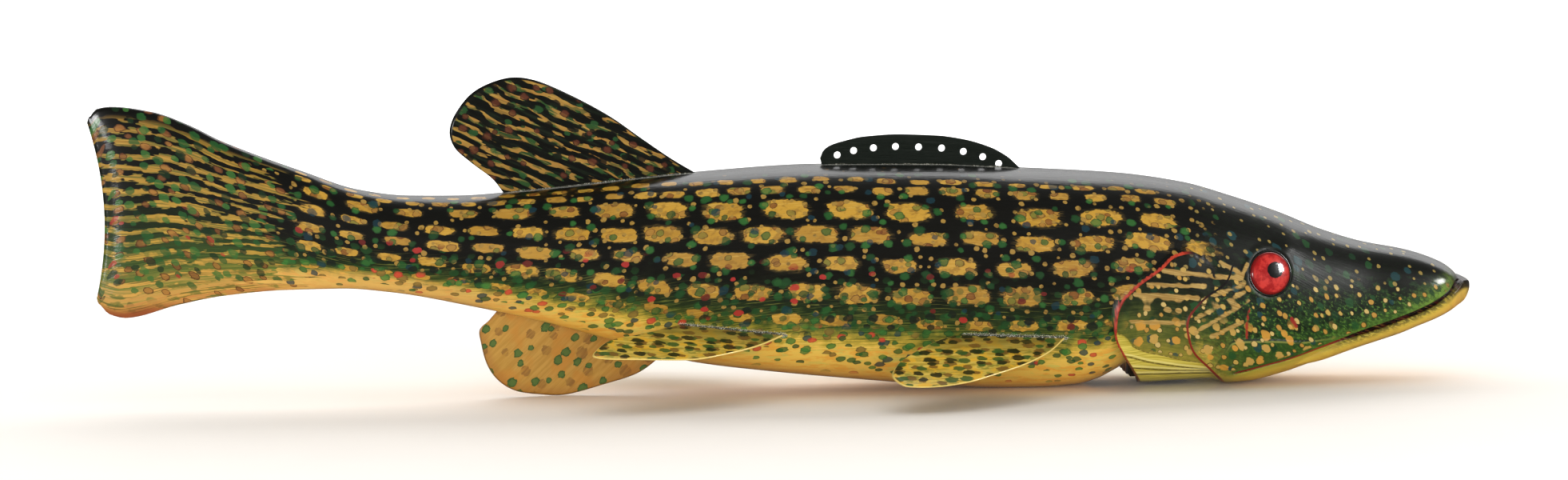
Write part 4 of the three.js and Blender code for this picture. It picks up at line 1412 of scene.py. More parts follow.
    def tail(self) -> None:
        """Yellow and black streaks that fan out along the tail, with ringed brown and green touches."""
        b = self.brush
        level = self.read("level")
        self.mix("ends", 0.03, 19.0, 30.0, 2.0, level)
        self.mix("fibre", 0.05, 105.0, 9.0, 3.0, level)
        self.mix("drift", 0.035, 8.0, 8.0, 2.0, level, 0.5)
        self.mix("broken", 0.13, 22.0, 5.0, 2.0, level)
        self.mix("patch", 0.12, 0.2, 35.0, 3.0)
        fibre = self.read("fibre")
        fan = b.fade(self.frayed("u", ends=70.0), -190.0, -194.0)
        turns = b.math("MULTIPLY_ADD", level, 16.5, b.math("MULTIPLY", self.read("drift"), 1.7))
        self.numbers["wave"] = b.math("PINGPONG", turns, 0.5)
        streaks = b.fade(self.frayed("wave", broken=1.25, fibre=0.5), 0.26, 0.3)
        under = b.tones(self.frayed("level", fibre=0.3), (0.0, 13, 13, 8), (0.4, 18, 19, 9),
                        (0.55, 30, 42, 17), (0.72, 56, 80, 28), (0.84, 116, 122, 44),
                        (0.91, 196, 152, 72), (1.0, 196, 128, 60))
        lit = b.tones(level, (0.0, 142, 106, 34), (0.3, 170, 130, 42), (0.7, 186, 146, 50),
                      (0.9, 208, 156, 70))
        lit = b.blend(lit, (104, 100, 36), b.fade(fibre, 0.49, 0.58, 0.0, 0.9))
        lit = b.blend(lit, (206, 166, 72), b.fade(fibre, 0.44, 0.34, 0.0, 0.6))
        lit = b.blend(lit, (92, 106, 38), self.band(0.7, patch=(0.5, 0.6), level=(0.4, 0.6)))
        self.lay(under, 1.0, fan)
        self.lay(lit, 1.0, streaks, fan, level=(0.03, 0.07))
        self.dab(((128, 74, 30), (160, 104, 40)), 0.75, (8.6, 6.0), 1.8, 141.3, 0.8, fan,
                 rim=((70, 36, 14), 0.9))
        self.dab(((34, 88, 36), (22, 50, 24), (56, 108, 42)), 0.8, (5.8, 4.8), 1.75, 153.7, 0.85, fan,
                 level=(0.96, 0.9))
        self.dab(((168, 44, 30),), 0.75, (12.0, 8.0), 1.4, 161.1, 0.5, fan, level=(0.4, 0.55, 0.9, 0.84))
        self.lay((140, 62, 28), 0.85, level=(0.93, 0.99), u=(-226.0, -242.0))

    def head_ground(self) -> None:
        """Black crown and mottled green cheeks, brightest low on the snout."""
        b = self.brush
        front = b.fade(self.frayed("u", ragged=20.0), 146.0, 158.0)
        green = b.tones(self.frayed("level", mottle=0.5, bristle=0.12), (0.0, 15, 16, 12), (0.34, 17, 18, 11),
                        (0.52, 24, 36, 16), (0.64, 34, 60, 24), (0.76, 50, 84, 30), (0.88, 92, 112, 40),
                        (1.0, 150, 140, 52))
        self.lay(green, 1.0, front)
        self.lay((84, 122, 40), 0.75, b.fade(self.frayed("mouth", mottle=16.0), 7.0, 0.8), u=(176.0, 206.0))
        self.lay((124, 158, 60), 0.75, u=(226.0, 244.0), mouth=(11.0, 2.0))
        self.mix("cloud", 0.2, 0.26, 14.0, 4.0)
        self.lay((36, 70, 28), 0.6, front, cloud=(0.5, 0.6), level=(0.18, 0.4))
        self.lay((18, 24, 12), 0.7, front, cloud=(0.46, 0.38), mouth=(3.0, 9.0))
        self.mix("stipple", 0.7, 0.9, 12.0, 2.0)
        self.lay((16, 24, 12), 0.5, front, stipple=(0.48, 0.58), mouth=(0.5, 3.0))
        self.lay((98, 142, 48), 0.6, front, stipple=(0.45, 0.36), level=(0.36, 0.6))

    def gill_plates(self) -> None:
        """Plate and cheek from black through olive to yellow, shingled rays with painted shadow and highlight
        lines, and the jaw flap's edge lines of painted highlight and shadow.
        """
        b = self.brush
        plate = b.tones(self.frayed("level", mottle=0.26, bristle=0.2), (0.0, 18, 20, 10), (0.46, 22, 24, 11),
                        (0.6, 38, 50, 18), (0.72, 84, 92, 30), (0.84, 140, 130, 44), (1.0, 196, 168, 66))
        on_plate = self.band(gill=(-0.1, 0.2), u=(170.0, 158.0))
        self.lay(plate, 1.0, on_plate, b.fade(self.read("cheek"), 2.0, -0.2, 0.4, 1.0))
        rays = self.band(on_plate, rays=(-0.1, 0.3), cheek=(0.2, -0.2))
        self.lay(b.blend((184, 166, 56), (222, 204, 92), self.band(bristle=(0.4, 0.6))), 1.0, rays)
        # Painted shadow just under each ray's overlapping edge, then a painted highlight just above it.
        self.lay((74, 58, 18), 0.85, rays, foot=(0.55, 0.1))
        self.lay((244, 232, 150), 0.6, rays, lip=(0.6, 0.1))
        self.lay((46, 78, 26), 1.0, b.fade(self.read("mottle"), 0.36, 0.6, 0.2, 0.8), flap=(-0.2, 0.2),
                 mouth=(-0.1, 0.3), u=(205.0, 196.0))
        # The jaw flap's top edge: a painted highlight along its ridge and a painted shadow line just outside
        # it.
        edge = {"u": (205.0, 192.0, 158.0, 162.0), "mouth": (0.6, 1.4)}
        self.lay((156, 158, 76), 0.6, self.near("flap", 0.5, 0.6, 0.1), **edge)
        self.lay((20, 34, 14), 0.8, self.near("flap", -0.3, 0.6, 0.1), **edge)

    def head_dots(self) -> None:
        """Ringed yellow dots on the head, small on the crown and larger and more orange low on the cheek."""
        b = self.brush
        front = self.band(b.math("MAXIMUM", self.band(gill=(0.5, 1.2)), self.band(u=(146.0, 150.0))),
                          u=(118.0, 126.0))
        off_rays = b.math("SUBTRACT", 1.0, self.band(rays=(-1.0, -0.2), cheek=(0.4, -0.2)))
        above = self.band(front, off_rays, mouth=(1.2, 1.9), eye=(9.2, 10.0))
        self.dab(((30, 80, 36), (24, 60, 32), (24, 66, 70)), 0.75, (8.0, 8.0), 1.6, 171.1, 0.8, above)
        self.dab(((158, 134, 66),), 0.85, (5.6, 5.6), 0.75, 177.7, 0.7, above, level=(0.5, 0.36))
        for radius, shades in ((1.15, ((70, 58, 24),)),
                               (0.92, ((190, 156, 74), (182, 136, 52), (200, 172, 100)))):
            self.dab(shades, 1.0, (5.0, 5.0), radius, 187.7, 0.95, above, level=(0.3, 0.42))
        self.dab(((206, 148, 52), (196, 156, 74)), 0.92, (6.8, 6.8), 1.75, 201.9, 0.95, above,
                 u=(206.0, 190.0), level=(0.6, 0.7))

    def strokes(self) -> None:
        """Broken tan strokes on the plates, small red marks, and the lines along the carved edges."""
        b = self.brush
        self.mix("soft", 0.24, 0.24, 21.0, 1.0)
        tan = b.blend((164, 126, 58), (190, 156, 84), self.band(bristle=(0.4, 0.6)))
        self.lay(tan, 0.88, b.fade(self.frayed("stripe", soft=1.6), 0.3, -0.2))
        self.lay((158, 30, 22), 0.85, b.fade(self.frayed("mark", ragged=1.6), 0.25, -0.15))
        line = self.near("gill", 0.3, 0.62, 0.36)
        red = b.blend((190, 58, 30), (150, 34, 20), self.band(ragged=(0.45, 0.6)))
        brown = b.blend((150, 92, 40), (96, 52, 24), self.read("ragged"))
        self.lay(b.blend(red, brown, self.band(level=(0.84, 0.91))), 1.0, line, u=(148.0, 142.0))
        self.lay((16, 14, 9), 1.0, line, u=(142.0, 148.0, 155.5, 154.0))
        red = b.blend((18, 13, 9), (138, 40, 24), self.band(level=(0.5, 0.66)))
        self.lay(red, 1.0, self.near("cheek", 0.25, 0.5, 0.28), u=(170.0, 163.0))

    def jaw(self) -> None:
        """Yellow lower jaw with dark streaks under the lip, the mouth line from thin red to maroon, painted
        glints on the lip and painted shade in the throat cut.
        """
        b = self.brush
        mouth = self.read("mouth")
        lower = self.band(mouth=(-0.3, -0.8), u=(158.0, 166.0))
        chin = b.tones(b.math("MULTIPLY", mouth, -0.1), (0.0, 150, 146, 52), (0.3, 206, 176, 64),
                       (0.7, 228, 176, 66), (1.0, 228, 164, 58))
        chin = b.blend(chin, (196, 160, 58), b.fade(self.read("mottle"), 0.48, 0.62, 0.0, 0.6))
        self.lay(chin, 1.0, lower)
        self.mix("speckle", 0.5, 0.9, 41.0, 3.0)
        self.lay((74, 66, 22), 0.85, lower, mouth=(-4.2, -1.2), u=(196.0, 214.0), speckle=(0.4, 0.54))
        gap = b.math("DIVIDE", b.math("ABSOLUTE", b.math("ADD", mouth, 0.1)),
                     b.fade(self.u, 196.0, 218.0, 0.42, 1.15))
        dark = b.blend((70, 22, 14), (22, 12, 8), self.band(ragged=(0.4, 0.55)))
        # Gold flecks in the dark lip band are painted highlights: glints of light on the lip rim.
        dark = b.blend(dark, (170, 132, 60), self.band(0.7, bristle=(0.58, 0.64)))
        lip = b.blend((150, 40, 24), dark, self.band(u=(200.0, 210.0)))
        self.lay(lip, 1.0, b.fade(gap, 1.0, 0.6), u=(163.0, 166.0))
        tip = b.blend((26, 15, 10), (72, 26, 18), self.band(mottle=(0.5, 0.6)))
        self.lay(tip, 0.92, u=(246.0, 254.0), mouth=(-4.6, -2.6))
        # Painted shade: the throat cut between the gill plates is painted near black, as shadow where light
        # doesn't reach.
        self.lay((34, 20, 12), 0.95, hollow=(0.0, 0.25))

    def putty(self) -> None:
        """Silver specks that thin out away from the roots of the back plates and side fins."""
        b = self.brush
        self.mix("grain", 2.6, 2.6, 51.0, 2.0)
        grain = self.read("grain")
        self.numbers["below"] = b.math("ABSOLUTE", self.v)
        near = b.fade(self.read("below"), 4.2, 1.0, 0.0, 0.24)
        for front, rear in BACK_ROOTS:
            first, last = float(along(rear)), float(along(front))
            self.lay((214, 216, 208), 0.8, b.fade(b.math("ADD", grain, near), 0.62, 0.7), below=(4.4, 3.0),
                     u=(first - 3.0, first + 6.0, last + 3.0, last - 6.0))
        near = b.fade(self.read("seam"), 1.7, 0.3, 0.0, 0.2)
        self.lay((216, 212, 190), 0.7, b.fade(b.math("ADD", grain, near), 0.64, 0.7), seam=(1.9, 1.3))


# Sheet-metal fins


@dataclass(frozen=True)
class Placing:
    """Right-handed frame of a plate: origin, along the root, out from it, and through the sheet."""

    origin: Array
    run: Array
    square: Array
    normal: Array

    @staticmethod
    def of(origin: Array, run: Array, outward: Array) -> "Placing":
        """Frame from two directions: normal = run x outward, square = normal x run.

        Args:
            origin: its place.
            run: along the root.
            outward: roughly out from the root.

        Returns:
            The frame.
        """
        normal = np.cross(run, outward)
        normal = normal / np.linalg.norm(normal)
        square = np.cross(normal, run)
        return Placing(origin, run / np.linalg.norm(run), square / np.linalg.norm(square), normal)

    def place(self, a: Array, b: Array, c: Array) -> Array:
        """Points at three coordinates in the frame."""
        return (self.origin + a[..., None] * self.run + b[..., None] * self.square
                + c[..., None] * self.normal)


def middle_placing(front: float, root: float, line: Profile, outward: float) -> Placing:
    """Frame of a plate in the middle plane, its root on the back or belly line.

    Args:
        front: share along of the root's front end.
        root: root length in millimetres.
        line: back or belly line.
        outward: 1 up, -1 down.

    Returns:
        The frame.
    """
    rear = front - root / BODY_LENGTH
    ends = [np.array([along(s), 0.0, float(line(np.array(s))) * BODY_DEPTH]) for s in (front, rear)]
    return Placing.of(ends[0], ends[1] - ends[0], np.array([0, 0, outward]))


def flank_placing(front: tuple[float, float], rear: tuple[float, float], dip: float, side: float) -> Placing:
    """Frame of a side fin, its root on the flank.

    Args:
        front: shares along and up of the root's front end.
        rear: the same of its rear end.
        dip: degrees below level.
        side: -1 on the right, 1 on the left.

    Returns:
        The frame.
    """
    ends = []
    for share, height in (front, rear):
        x, z = along(share), height * BODY_DEPTH
        ends.append(np.array([x, side * float(CARVING.side_at(x, z)), z]))
    angle = math.radians(dip)
    outward = np.array([0.0, side * math.cos(angle), -math.sin(angle)])
    return Placing.of(ends[0], ends[1] - ends[0], outward)


@dataclass(frozen=True)
class SheetFin:
    """A sheet-metal fin: a blade through (share back, share out) points from its front root."""

    name: str
    node: str
    blade: Points
    length: float
    height: float
    root: float
    placing: Placing
    slot: str
    thickness: float = 0.7
    around: int = 150
    across: int = 34
    sunk: float = 2.0
    inset: float = 0.02
    bow: float = 0.5

    def outline(self) -> Array:
        """Blade's edge in millimetres from the front root to the rear root."""
        return smooth_line([(a * self.length, b * self.height) for a, b in self.blade], self.around - 1)

    def build(self) -> bpy.types.Object:
        """Closed sheet: lines from the root to the edge, on both faces, with the thickness rounded off.

        Returns:
            The fin.
        """
        edge = self.outline()
        spans = np.concatenate([[0], np.cumsum(np.linalg.norm(np.diff(edge, axis=0), axis=1))])
        share = (spans / spans[-1])[:, None]
        root_a = self.root * self.length * (self.inset + (1 - 2 * self.inset) * share)
        root_b = np.full_like(root_a, -self.sunk)
        t = np.linspace(0, 1, self.across + 1)[None, :] ** 0.8
        a = root_a + (edge[:, :1] - root_a) * t
        b = root_b + (edge[:, 1:] - root_b) * t
        reach = np.hypot(edge[:, :1] - root_a, edge[:, 1:] - root_b) * (1 - t)
        half = self.thickness / 2
        thick = half * np.sqrt(np.clip(1 - (1 - np.clip(reach / half, 0, 1)) ** 2, 0, 1))
        thick = np.maximum(thick, 0.02)
        thick[:, -1] = 0.0
        bow = self.bow * np.sin(np.pi * np.clip(a / self.length, 0, 1)) * (b / self.height) ** 2
        front = self.placing.place(a, b, thick + bow)
        rear = self.placing.place(a, b, bow - thick)
        grid = np.concatenate([front, rear[:, -2::-1]], axis=1)
        along_blade, out, gap = (np.concatenate([p, p[:, -2::-1]], axis=1).ravel()
                                 for p in (a, b, np.minimum(reach, 20.0)))
        values = {"edge": gap, "out": out}
        uv = np.stack([along_blade, out], axis=1)
        columns = grid.shape[1]
        faces = grid_faces(len(edge), columns, wrap=True).tolist()
        last = (len(edge) - 1) * columns
        faces += [list(range(columns)), list(range(last, last + columns))]
        fin = make_piece(self.name, grid.reshape(-1, 3), faces, values, uv)
        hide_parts(self.node)
        return fin


class FinStyle(Enum):
    """The ways that the fins are painted."""

    DARK = "dark"
    OCHRE = "ochre"
    ORANGE = "orange"


class FinPaint(Layers):
    """Paint of a sheet-metal fin, in the fin's own plane, its streaks turned by a slant."""

    coat_rough = 0.15
    brush_depth = 0.04

    def __init__(self, name: str, style: FinStyle, slant: float) -> None:
        """Starts the brush and turns its coordinates by the slant.

        Args:
            name: the material's name.
            style: how the fin is painted.
            slant: degrees from the root to the streaks.
        """
        super().__init__(name)
        b = self.brush
        self.style = style
        u, v, turn = self.u, self.v, math.radians(slant)
        self.u = b.math("ADD", b.math("MULTIPLY", u, math.cos(turn)), b.math("MULTIPLY", v, math.sin(turn)))
        self.v = b.math("ADD", b.math("MULTIPLY", u, -math.sin(turn)), b.math("MULTIPLY", v, math.cos(turn)))
        self.mix("ragged", 0.4, 0.9, 0.0, 2.0)
        self.mix("streak", 0.06, 0.8, 0.0, 3.0)

    def material(self) -> bpy.types.Material:
        """The fin's material.

        Returns:
            The material.
        """
        {FinStyle.DARK: self.dark, FinStyle.OCHRE: self.ochre, FinStyle.ORANGE: self.orange}[self.style]()
        streak = self.read("streak")
        rough = self.brush.fade(streak, 0.3, 0.7, 0.3, 0.45)
        return self.brush.finish(self.colour, rough, streak, self.brush_depth, coat_rough=self.coat_rough)

    def dark(self) -> None:
        """Black with broken yellow, olive and green streaks side by side, and ringed brown touches."""
        b = self.brush
        self.mix("drift", 0.05, 0.06, 3.0, 1.0, rough=0.5)
        self.mix("broken", 0.1, 0.36, 6.0, 2.0)
        self.mix("choice", 0.11, 0.3, 15.0, 1.0, rough=0.5)
        turns = b.math("MULTIPLY_ADD", self.v, 1 / 3.7, b.math("MULTIPLY", self.read("drift"), 2.6))
        self.numbers["wave"] = b.math("PINGPONG", turns, 0.5)
        stops = ((0.0, (40, 78, 30)), (0.41, (104, 92, 32)), (0.46, (158, 118, 40)), (0.56, (166, 118, 40)),
                 (0.62, (40, 68, 27)))
        tone = b.gradient(self.read("choice"), stops, steps=True).outputs[0]
        tone = b.blend(tone, (190, 152, 60), self.band(0.5, streak=(0.54, 0.66)))
        tone = b.blend(tone, (98, 78, 28), self.band(0.6, streak=(0.46, 0.38)))
        self.colour = b.blend((13, 14, 8), (22, 34, 16), self.band(streak=(0.5, 0.62)))
        self.lay(tone, 1.0, b.fade(self.frayed("wave", broken=1.4, streak=0.5), 0.31, 0.35))
        self.dab(((36, 84, 36),), 0.75, (8.0, 5.6), 1.7, 19.1, 0.6)
        self.dab(((16, 16, 9),), 0.9, (7.6, 5.6), 1.8, 27.7, 0.55)
        brown = b.blend((66, 28, 14), (118, 58, 24), self.read("streak"))
        self.dab((brown,), 0.85, (8.4, 6.6), 1.75, 9.1, 0.75, rim=((36, 16, 9), 0.9))
        self.lay((12, 13, 8), 1.0, edge=(1.5, 0.8))

    def ochre(self) -> None:
        """Yellow ochre with dark, green and brown dabs that lie along the root, and a pale outer edge painted
        as a highlight.
        """
        b = self.brush
        self.mix("patch", 0.16, 0.2, 2.0, 2.0)
        self.colour = b.blend((172, 142, 44), (226, 194, 84), self.band(streak=(0.35, 0.65)))
        self.lay((232, 176, 44), 0.75, patch=(0.5, 0.6))
        self.lay((126, 128, 44), 0.7, patch=(0.44, 0.36))
        root = self.band(out=(16.0, 2.0))
        self.lay((112, 98, 38), 0.7, root)
        self.dab(((112, 76, 28),), 0.85, (7.0, 5.0), 2.2, 29.3, 0.8)
        self.dab(((44, 88, 34),), 0.9, (7.8, 5.6), 2.3, 43.7, 0.75)
        self.dab(((30, 38, 15),), 0.95, (6.8, 4.8), 2.2, 57.1, b.math("MULTIPLY_ADD", root, 0.3, 0.6))
        # Painted highlight: the pale line round the outer edge stands for the edge catching the light.
        self.lay((238, 208, 112), 1.0, edge=(1.0, 0.6))

    def orange(self) -> None:
        """Orange ochre brushed outwards, with green teardrop dabs and brown smudges."""
        self.mix("patch", 0.07, 0.09, 2.0, 2.0)
        self.colour = self.brush.blend((184, 138, 54), (200, 154, 66), self.band(streak=(0.35, 0.65)))
        self.lay((198, 132, 40), 0.6, patch=(0.48, 0.62))
        self.lay((160, 98, 38), 0.5, edge=(5.0, 0.5))
        self.dab(((128, 86, 34),), 0.75, (8.0, 8.0), 2.2, 63.9, 0.75, streak=(0.3, 0.6))
        self.dab(((66, 112, 50),), 0.9, (7.8, 6.6), 1.8, 77.7, 0.85, rim=((36, 74, 32), 0.7), ring=0.3)
        self.lay((120, 82, 30), 0.6, edge=(0.8, 0.3))


@dataclass
class Fins:
    """The six sheet-metal fins."""

    dorsal_root: float = 0.802
    anal_root: float = 0.93
    pectoral_root: float = 0.536
    pelvic_root: float = 0.528

    def fins(self) -> list[SheetFin]:
        """Every fin with its place.

        Returns:
            The six fins.
        """
        dorsal = ((0, 0), (0.09, 0.14), (0.206, 0.345), (0.334, 0.577), (0.502, 0.815), (0.631, 0.958),
                  (0.724, 1), (0.828, 0.961), (0.898, 0.889), (0.956, 0.768), (0.989, 0.657), (1, 0.556),
                  (0.984, 0.435), (0.922, 0.29), (0.84, 0.126), (0.802, 0))
        anal = ((-0.12, -0.02), (0, 0.33), (0.19, 0.617), (0.405, 0.89), (0.529, 0.96), (0.706, 1),
                (0.818, 0.916), (0.9, 0.755), (0.968, 0.496), (1, 0.307), (0.963, 0.157), (0.93, 0))
        pectoral = ((0, 0), (0.107, 0.27), (0.259, 0.52), (0.451, 0.744), (0.586, 0.883), (0.744, 0.978),
                    (0.882, 1), (0.954, 0.972), (1, 0.814), (0.97, 0.628), (0.927, 0.506), (0.69, 0.108),
                    (0.536, 0))
        pelvic = ((0, 0), (0.152, 0.347), (0.332, 0.637), (0.475, 0.816), (0.759, 0.95), (0.97, 1),
                  (1, 0.962), (0.986, 0.828), (0.917, 0.569), (0.761, 0.353), (0.528, 0))
        fins = [
            SheetFin("dorsal_blade", "dorsal_fin", dorsal, 89.5, 42.3, self.dorsal_root,
                     middle_placing(0.428, self.dorsal_root * 89.5, CARVING.back, 1), "dark_sheet"),
            SheetFin("anal_blade", "anal_fin", anal, 62.0, 27.0, self.anal_root,
                     middle_placing(0.392, self.anal_root * 62.0, CARVING.belly, -1), "ochre_sheet"),
        ]
        for hand, side in HANDS:
            fins.append(SheetFin(f"pectoral_blade_{hand}", f"pectoral_fin_{hand}", pectoral, 69.4, 36.0,
                                 self.pectoral_root, flank_placing((0.688, 0.258), (0.616, 0.28), 25.0, side),
                                 "ochre_sheet"))
            fins.append(SheetFin(f"pelvic_blade_{hand}", f"pelvic_fin_{hand}", pelvic, 71.0, 32.0,
                                 self.pelvic_root, flank_placing((0.486, 0.289), (0.414, 0.339), 21.0, side),
                                 "ochre_sheet"))
        return fins

    def build(self) -> list[bpy.types.Object]:
        """Builds and paints the fins.

        Returns:
            The fins.
        """
        coats = {name: FinPaint(f"{name}_paint", style, slant).material() for name, style, slant in (
            ("dorsal", FinStyle.DARK, 29.0), ("anal", FinStyle.ORANGE, 60.0),
            ("pectoral", FinStyle.OCHRE, 6.0), ("pelvic", FinStyle.OCHRE, 4.0))}
        built = []
        for fin in self.fins():
            piece = fin.build()
            piece.data.materials.append(coats[fin.name.split("_")[0]])
            built.append(piece)
        return built


@dataclass
class TiePlate:
    """Thin arched plate with a row of line holes near its upper edge."""

    length: float = 76.0
    height: float = 11.9
    thickness: float = 0.9
    hole_radius: float = 1.3
    hole_count: int = 9
    hole_span: float = 61.4
    hole_crowding: float = 0.15
    hole_shift: float = 0.9
    hole_edge: float = 4.6
    bevel: float = 0.12
    sunk: float = 3.0
    arch: Profile = Profile((
        (0, 0), (0.066, 0.36), (0.154, 0.647), (0.29, 0.882), (0.426, 0.983), (0.597, 1), (0.783, 0.908),
        (0.882, 0.76), (0.95, 0.61), (0.985, 0.44), (1, 0.2)))

    def loops(self) -> list[Array]:
        """Outline, then each hole, in the plate's plane.

        Returns:
            Closed loops of points.
        """
        a = np.linspace(0, 1, 90)
        top = np.column_stack([a * self.length, self.arch(a) * self.height])
        low = np.array([[self.length - 1.5, -self.sunk], [1.5, -self.sunk]])
        loops = [np.vstack([top, low])]
        t = 2 * np.arange(self.hole_count) / (self.hole_count - 1) - 1
        spread = t + self.hole_crowding * (t - t ** 3)
        centre = self.length / 2 + self.hole_shift + spread * self.hole_span / 2
        level = self.arch(centre / self.length) * self.height - self.hole_edge
        turn = np.linspace(0, 2 * np.pi, 32, endpoint=False)
        for a0, b0 in zip(centre, level):
            loops.append(np.column_stack([a0 + self.hole_radius * np.cos(turn),
                                          b0 + self.hole_radius * np.sin(turn)]))
        return loops

    def build(self) -> bpy.types.Object:
        """Plate from a filled flat curve, made a mesh and set in its frame.

        Returns:
            The plate.
        """
        curve = bpy.data.curves.new("tie_outline", "CURVE")
        curve.dimensions = "2D"
        curve.fill_mode = "BOTH"
        curve.bevel_resolution = 2
        curve.bevel_depth = self.bevel
        curve.extrude = self.thickness / 2 - self.bevel
        curve.offset = -self.bevel
        for loop in self.loops():
            spline = curve.splines.new("POLY")
            spline.points.add(len(loop) - 1)
            flat = np.column_stack([loop, np.zeros(len(loop)), np.ones(len(loop))])
            spline.points.foreach_set("co", flat.ravel())
            spline.use_cyclic_u = True
        holder = bpy.data.objects.new("tie_outline", curve)
        bpy.context.scene.collection.objects.link(holder)
        mesh = holder.to_mesh()
        flat = numbers_of(mesh.vertices, "co", 3, np.float64).reshape(-1, 3)
        faces = [list(face.vertices) for face in mesh.polygons]
        holder.to_mesh_clear()
        bpy.data.objects.remove(holder)
        bpy.data.curves.remove(curve)
        placing = middle_placing(0.6645, self.length, CARVING.back, 1)
        points = placing.place(flat[:, 0], flat[:, 1], flat[:, 2])
        plate = make_piece("tie_plate_sheet", points, faces, None, flat[:, :2])
        plate.data.set_sharp_from_angle(angle=math.radians(50))
        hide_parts("tie_plate")
        plate.data.materials.append(self.material())
        return plate

    def material(self) -> bpy.types.Material:
        """Black-green gloss with faint scratches along the plate.

        Returns:
            The material.
        """
        b = Brush("tie_plate_paint")
        u, v = b.surface_place()
        scratch = b.cloud(u, 0.08, v, 2.2, detail=3.0, rough=0.7)
        colour = b.blend((20, 27, 20), (40, 46, 38), b.fade(scratch, 0.55, 0.75))
        return b.finish(colour, b.fade(scratch, 0.3, 0.7, 0.25, 0.45), scratch, 0.03, coat_rough=0.14)


@dataclass
class Eyes:
    """Domed eyes set in round rims on the flank."""

    radius: float = 8.0
    dome: float = 2.4
    seat: float = 2.2
    rim_inner: float = 7.8
    rim_outer: float = 8.9
    rim_height: float = 0.45
    rim_sunk: float = 0.35
    step: float = 2.0

    def placing(self, side: float) -> Placing:
        """Frame of an eye: along and up the flank, and straight out of the carving.

        Args:
            side: -1 for the right side and 1 for the left.

        Returns:
            The frame.
        """
        x, z = EYE_PLACE
        d = self.step
        slope_x = float(CARVING.side_at(x + d, z) - CARVING.side_at(x - d, z)) / (2 * d)
        slope_z = float(CARVING.side_at(x, z + d) - CARVING.side_at(x, z - d)) / (2 * d)
        outward = np.array([-slope_x, side, -slope_z])
        outward = outward / np.linalg.norm(outward)
        run = np.cross(np.array([0.0, 0.0, 1.0]), outward)
        run = run / np.linalg.norm(run)
        origin = np.array([x, side * float(CARVING.side_at(x, z)), z])
        return Placing(origin, run, np.cross(outward, run), outward)

    def turned(self, name: str, points: Points, placing: Placing, side: float,
               closed: bool) -> bpy.types.Object:
        """Round piece: (radius, height) points carried round the frame's third direction.

        Args:
            name: the piece's name.
            points: profile.
            placing: frame.
            side: -1 on the right, 1 on the left, which turns the paint the same way on both.
            closed: whether the profile is a closed loop.

        Returns:
            The piece.
        """
        radius, height = np.array(points, float).T
        turn = np.linspace(0, 2 * np.pi, 72, endpoint=False)
        a = radius[:, None] * np.cos(turn)
        b = radius[:, None] * np.sin(turn)
        c = np.broadcast_to(height[:, None], a.shape)
        grid = placing.place(a, b, c)
        if closed:
            grid = np.concatenate([grid, grid[:1]], axis=0)
            a, b = (np.concatenate([p, p[:1]], axis=0) for p in (a, b))
        faces = grid_faces(len(grid), len(turn), wrap=True).tolist()
        uv = np.stack([(-side * a).ravel(), b.ravel()], axis=1)
        return make_piece(name, grid.reshape(-1, 3), faces, None, uv)

    def build(self) -> list[bpy.types.Object]:
        """Both eyes and their rims.

        Returns:
            The pieces.
        """
        eye_paint = self.eye_material()
        rim_paint = self.rim_material()
        built = []
        angles = np.linspace(0, np.pi / 2, 16)
        dome = [(self.radius * math.cos(t), self.dome * math.sin(t)) for t in angles[:-1]]
        profile = [(0.0, -self.seat), (self.radius, -self.seat), *dome, (0.0, self.dome)]
        turn = np.linspace(0, 2 * np.pi, 20, endpoint=False)
        middle = (self.rim_inner + self.rim_outer) / 2
        half = (self.rim_outer - self.rim_inner) / 2
        ring = [(middle + half * math.cos(t), self.rim_height * math.sin(t) - self.rim_sunk) for t in turn]
        for hand, side in HANDS:
            placing = self.placing(side)
            eye = self.turned(f"eye_dome_{hand}", profile, placing, side, closed=False)
            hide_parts(f"eye_{hand}")
            eye.data.materials.append(eye_paint)
            rim = self.turned(f"eye_rim_{hand}", ring, placing, side, closed=True)
            rim.data.materials.append(rim_paint)
            built += [eye, rim]
        return built

    def eye_material(self) -> bpy.types.Material:
        """Brushed red with a black pupil set a little up and forward.

        Returns:
            The material.
        """
        b = Brush("eye_paint")
        u, v = b.surface_place()
        mottle = b.noise(b.vector(u, v, 2.0), 0.35, 3.0, 0.6)
        colour = b.blend((160, 20, 20), (206, 54, 46), b.fade(mottle, 0.4, 0.62))
        colour = b.blend(colour, (120, 14, 12), b.fade(b.radius(u, v), 6.6, 7.6))
        pupil = b.radius(b.math("SUBTRACT", u, 1.2), b.math("SUBTRACT", v, 1.1))
        pupil = b.math("ADD", pupil, b.swing(mottle, 0.8))
        colour = b.blend(colour, (8, 8, 8), b.fade(pupil, 3.25, 3.0))
        return b.finish(colour, 0.3, mottle, 0.05, coat_rough=0.05)

    def rim_material(self) -> bpy.types.Material:
        """Black gloss with a trace of brush marks.

        Returns:
            The material.
        """
        b = Brush("eye_rim_paint")
        u, v = b.surface_place()
        mottle = b.noise(b.vector(u, v, 7.0), 0.6, 2.0, 0.5)
        colour = b.blend((10, 12, 8), (28, 34, 16), b.fade(mottle, 0.5, 0.7))
        return b.finish(colour, 0.35, mottle, 0.05, coat_rough=0.08)


